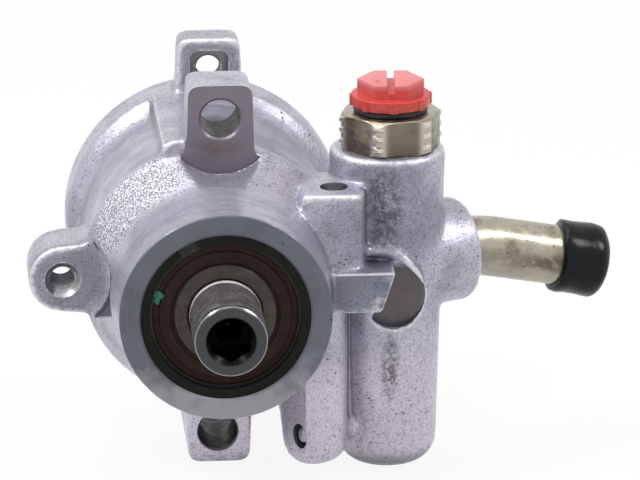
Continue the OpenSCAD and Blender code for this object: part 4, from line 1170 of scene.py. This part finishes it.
class PUMP_OT_cap(bpy.types.Operator):
    """Moulds the soft vinyl cap on the end of the tube"""

    bl_idname = "pump.cap"
    bl_label = "Cap"

    def execute(self, context):
        bore, wall, length = mm(7.3, 1.5, 12.2)
        sides = 96
        end = wall + 0.05 * MM
        start, outer = end - length, bore + wall
        side = frame_about(TUBE_WAY)
        rows = self.profile(bore, outer, wall, start, end)
        verts = []
        for i, (r, a) in enumerate(rows):
            soft = min(1.0, max(0.0, (i - 2) / 2))
            for k in range(sides):
                t = 2 * math.pi * k / sides
                way = side[0] * math.cos(t) + side[1] * math.sin(t)
                sag = 0.25 * MM * soft * max(0.0, -way.z) * (a - start) / length
                wave = 0.08 * MM * math.sin(3 * t + 90 * a / MM / 40) + 0.05 * MM * math.sin(7 * t + a / MM)
                lap = 0.35 * MM * math.sin(2 * t + 0.7) if i in (2, 3, 4) else 0.0
                out = r + (sag + soft * wave) * min(1, r / outer)
                verts.append(TUBE_END + TUBE_WAY * (a + lap) + way * max(0.0, out))
        cap = mesh_object("vinyl_cap", verts, ring_faces(len(rows), sides), [FINISHES["vinyl"]])
        carried(shaded(cap, 50), CAP, "black_vinyl", "tube_cap")
        return {"FINISHED"}

    def profile(self, bore, outer, wall, start, end):
        """Inside, lip, side, round shoulder and nipple of the cap, as (radius, place along the tube)."""
        inside = [(0, end - wall), (bore, end - wall), (bore, start)]
        lip = ((-0.7, 0), (-0.1, 0.4), (0.05, 1.2), (-0.1, 3), (-0.05, 6))
        skin = [(outer + r * MM, start + a * MM) for r, a in lip]
        skin.append((outer + 0.1 * MM, end - 4.4 * MM))
        for i in range(1, 9):
            t = math.pi / 2 * i / 8
            skin.append((outer - 3.6 * MM + 3.7 * MM * math.cos(t), end - 3.6 * MM + 3.5 * MM * math.sin(t)))
        nipple = ((2.2, -0.1), (1.7, 0.2), (0.9, 0.35), (0, 0.4))
        return inside + skin + [(r * MM, end + a * MM) for r, a in nipple]


def seen_rays(tree):
    """1 for the rays that show the white background, straight or in metal and glass."""
    path = tree.nodes.new("ShaderNodeLightPath")
    total = path.outputs["Is Camera Ray"]
    for kind in ("Is Glossy Ray", "Is Transmission Ray"):
        either = tree.nodes.new("ShaderNodeMath")
        either.operation = "MAXIMUM"
        tree.links.new(total, either.inputs[0])
        tree.links.new(path.outputs[kind], either.inputs[1])
        total = either.outputs[0]
    return total


class PUMP_OT_stage(bpy.types.Operator):
    """Sets the floor, the soft lights and the camera"""

    bl_idname = "pump.stage"
    bl_label = "Stage"

    def execute(self, context):
        scene = context.scene
        scene.view_settings.view_transform = "Standard"
        self.floor()
        self.sky(scene)
        self.lamps(scene)
        self.camera(scene, scene.pump_stage)
        return {"FINISHED"}

    def floor(self):
        """A pale floor that looks almost as white as the background and keeps the shadow."""
        z, half, white_share = CAD_BOX[0][2] - 0.3 * MM, 3.0, 0.9
        corners = [(-half, -half, z), (half, -half, z), (half, half, z), (-half, half, z)]
        floor = mesh_object("floor", corners, [(0, 1, 2, 3)])
        f = Finish("pale_floor", (0.9, 0.9, 0.9), roughness=0.9)
        f.blotches(300, 3, 0.5, 0.4, 0.6, 0.3, (0.88, 0.88, 0.88))
        f.done()
        white = f.node("ShaderNodeEmission")
        mix = f.node("ShaderNodeMixShader")
        f.link(f.times(seen_rays(f.tree), white_share), mix.inputs["Fac"])
        f.link(f.shader.outputs["BSDF"], mix.inputs[1])
        f.link(white.outputs["Emission"], mix.inputs[2])
        f.link(mix.outputs["Shader"], f.tree.nodes["Material Output"].inputs["Surface"])
        floor.data.materials.append(f.material)

    def sky(self, scene):
        """A white background that lights the pump with less than it shows."""
        scene.world = bpy.data.worlds.new("white_room")
        scene.world.use_nodes = True
        tree = scene.world.node_tree
        back = tree.nodes["Background"]
        level = tree.nodes.new("ShaderNodeMapRange")
        level.inputs["To Min"].default_value = 0.30
        tree.links.new(seen_rays(tree), level.inputs["Value"])
        back.inputs["Color"].default_value = (1, 1, 1, 1)
        tree.links.new(level.outputs["Result"], back.inputs["Strength"])

    def lamps(self, scene):
        """Three square lamps aimed at the middle of the pump."""
        aim = Vector((0.02, 0.04, 0))
        for name, place, size, power in (
            ("key_left", (-0.65, -0.15, 0.85), 0.32, 6.1),
            ("key_right", (0.70, -0.20, 0.70), 0.30, 3.2),
            ("top_soft", (-0.15, 0.20, 0.95), 0.80, 4.4),
        ):
            lamp = bpy.data.lights.new(name, "AREA")
            lamp.size = size
            lamp.energy = power
            held = bpy.data.objects.new(name, lamp)
            held.location = place
            held.rotation_euler = (aim - Vector(place)).to_track_quat("-Z", "Y").to_euler()
            scene.collection.objects.link(held)

    def camera(self, scene, settings):
        """The camera that was fitted to the photograph."""
        a, e = settings.turn, settings.height
        right = Vector((math.cos(a), math.sin(a), 0))
        up = Vector((-math.sin(a) * math.sin(e), math.cos(a) * math.sin(e), math.cos(e)))
        back = Vector((math.sin(a) * math.cos(e), -math.cos(a) * math.cos(e), math.sin(e)))
        sensor, picture = 36, 640
        data = bpy.data.cameras.new("photo_camera")
        data.sensor_width = sensor
        data.lens = settings.scale * settings.distance / picture * sensor
        data.clip_end = 20
        camera = bpy.data.objects.new("photo_camera", data)
        place = right * settings.aim_right + up * settings.aim_up + back * settings.distance
        turn = Matrix((right, up, back)).transposed().to_4x4()
        camera.matrix_world = Matrix.Translation(place) @ turn
        scene.collection.objects.link(camera)
        scene.camera = camera


class PUMP_PT_panel(bpy.types.Panel):
    """Lists the pump's operators"""

    bl_idname = "PUMP_PT_panel"
    bl_label = "Pump"
    bl_space_type = "VIEW_3D"
    bl_region_type = "UI"
    bl_category = "Pump"

    def draw(self, context):
        for operator in OPERATORS:
            self.layout.operator(operator.bl_idname)


OPERATORS = (
    PUMP_OT_casting, PUMP_OT_turned_steel, PUMP_OT_bearing, PUMP_OT_valve, PUMP_OT_threads, PUMP_OT_union,
    PUMP_OT_cap, PUMP_OT_stage,
)
GROUPS = {"pump_casting": CastingSettings, "pump_finish": FinishSettings, "pump_stage": StageSettings}
CLASSES = (*GROUPS.values(), *OPERATORS, PUMP_PT_panel)


def register():
    for each in CLASSES:
        bpy.utils.register_class(each)
    for name, group in GROUPS.items():
        setattr(bpy.types.Scene, name, bpy.props.PointerProperty(type=group))


def unregister():
    for name in GROUPS:
        delattr(bpy.types.Scene, name)
    for each in reversed(CLASSES):
        bpy.utils.unregister_class(each)


def main():
    register()
    make_finishes(bpy.context.scene.pump_finish)
    for operator in OPERATORS:
        group, name = operator.bl_idname.split(".")
        getattr(getattr(bpy.ops, group), name)()


if __name__ == "__main__":
    main()
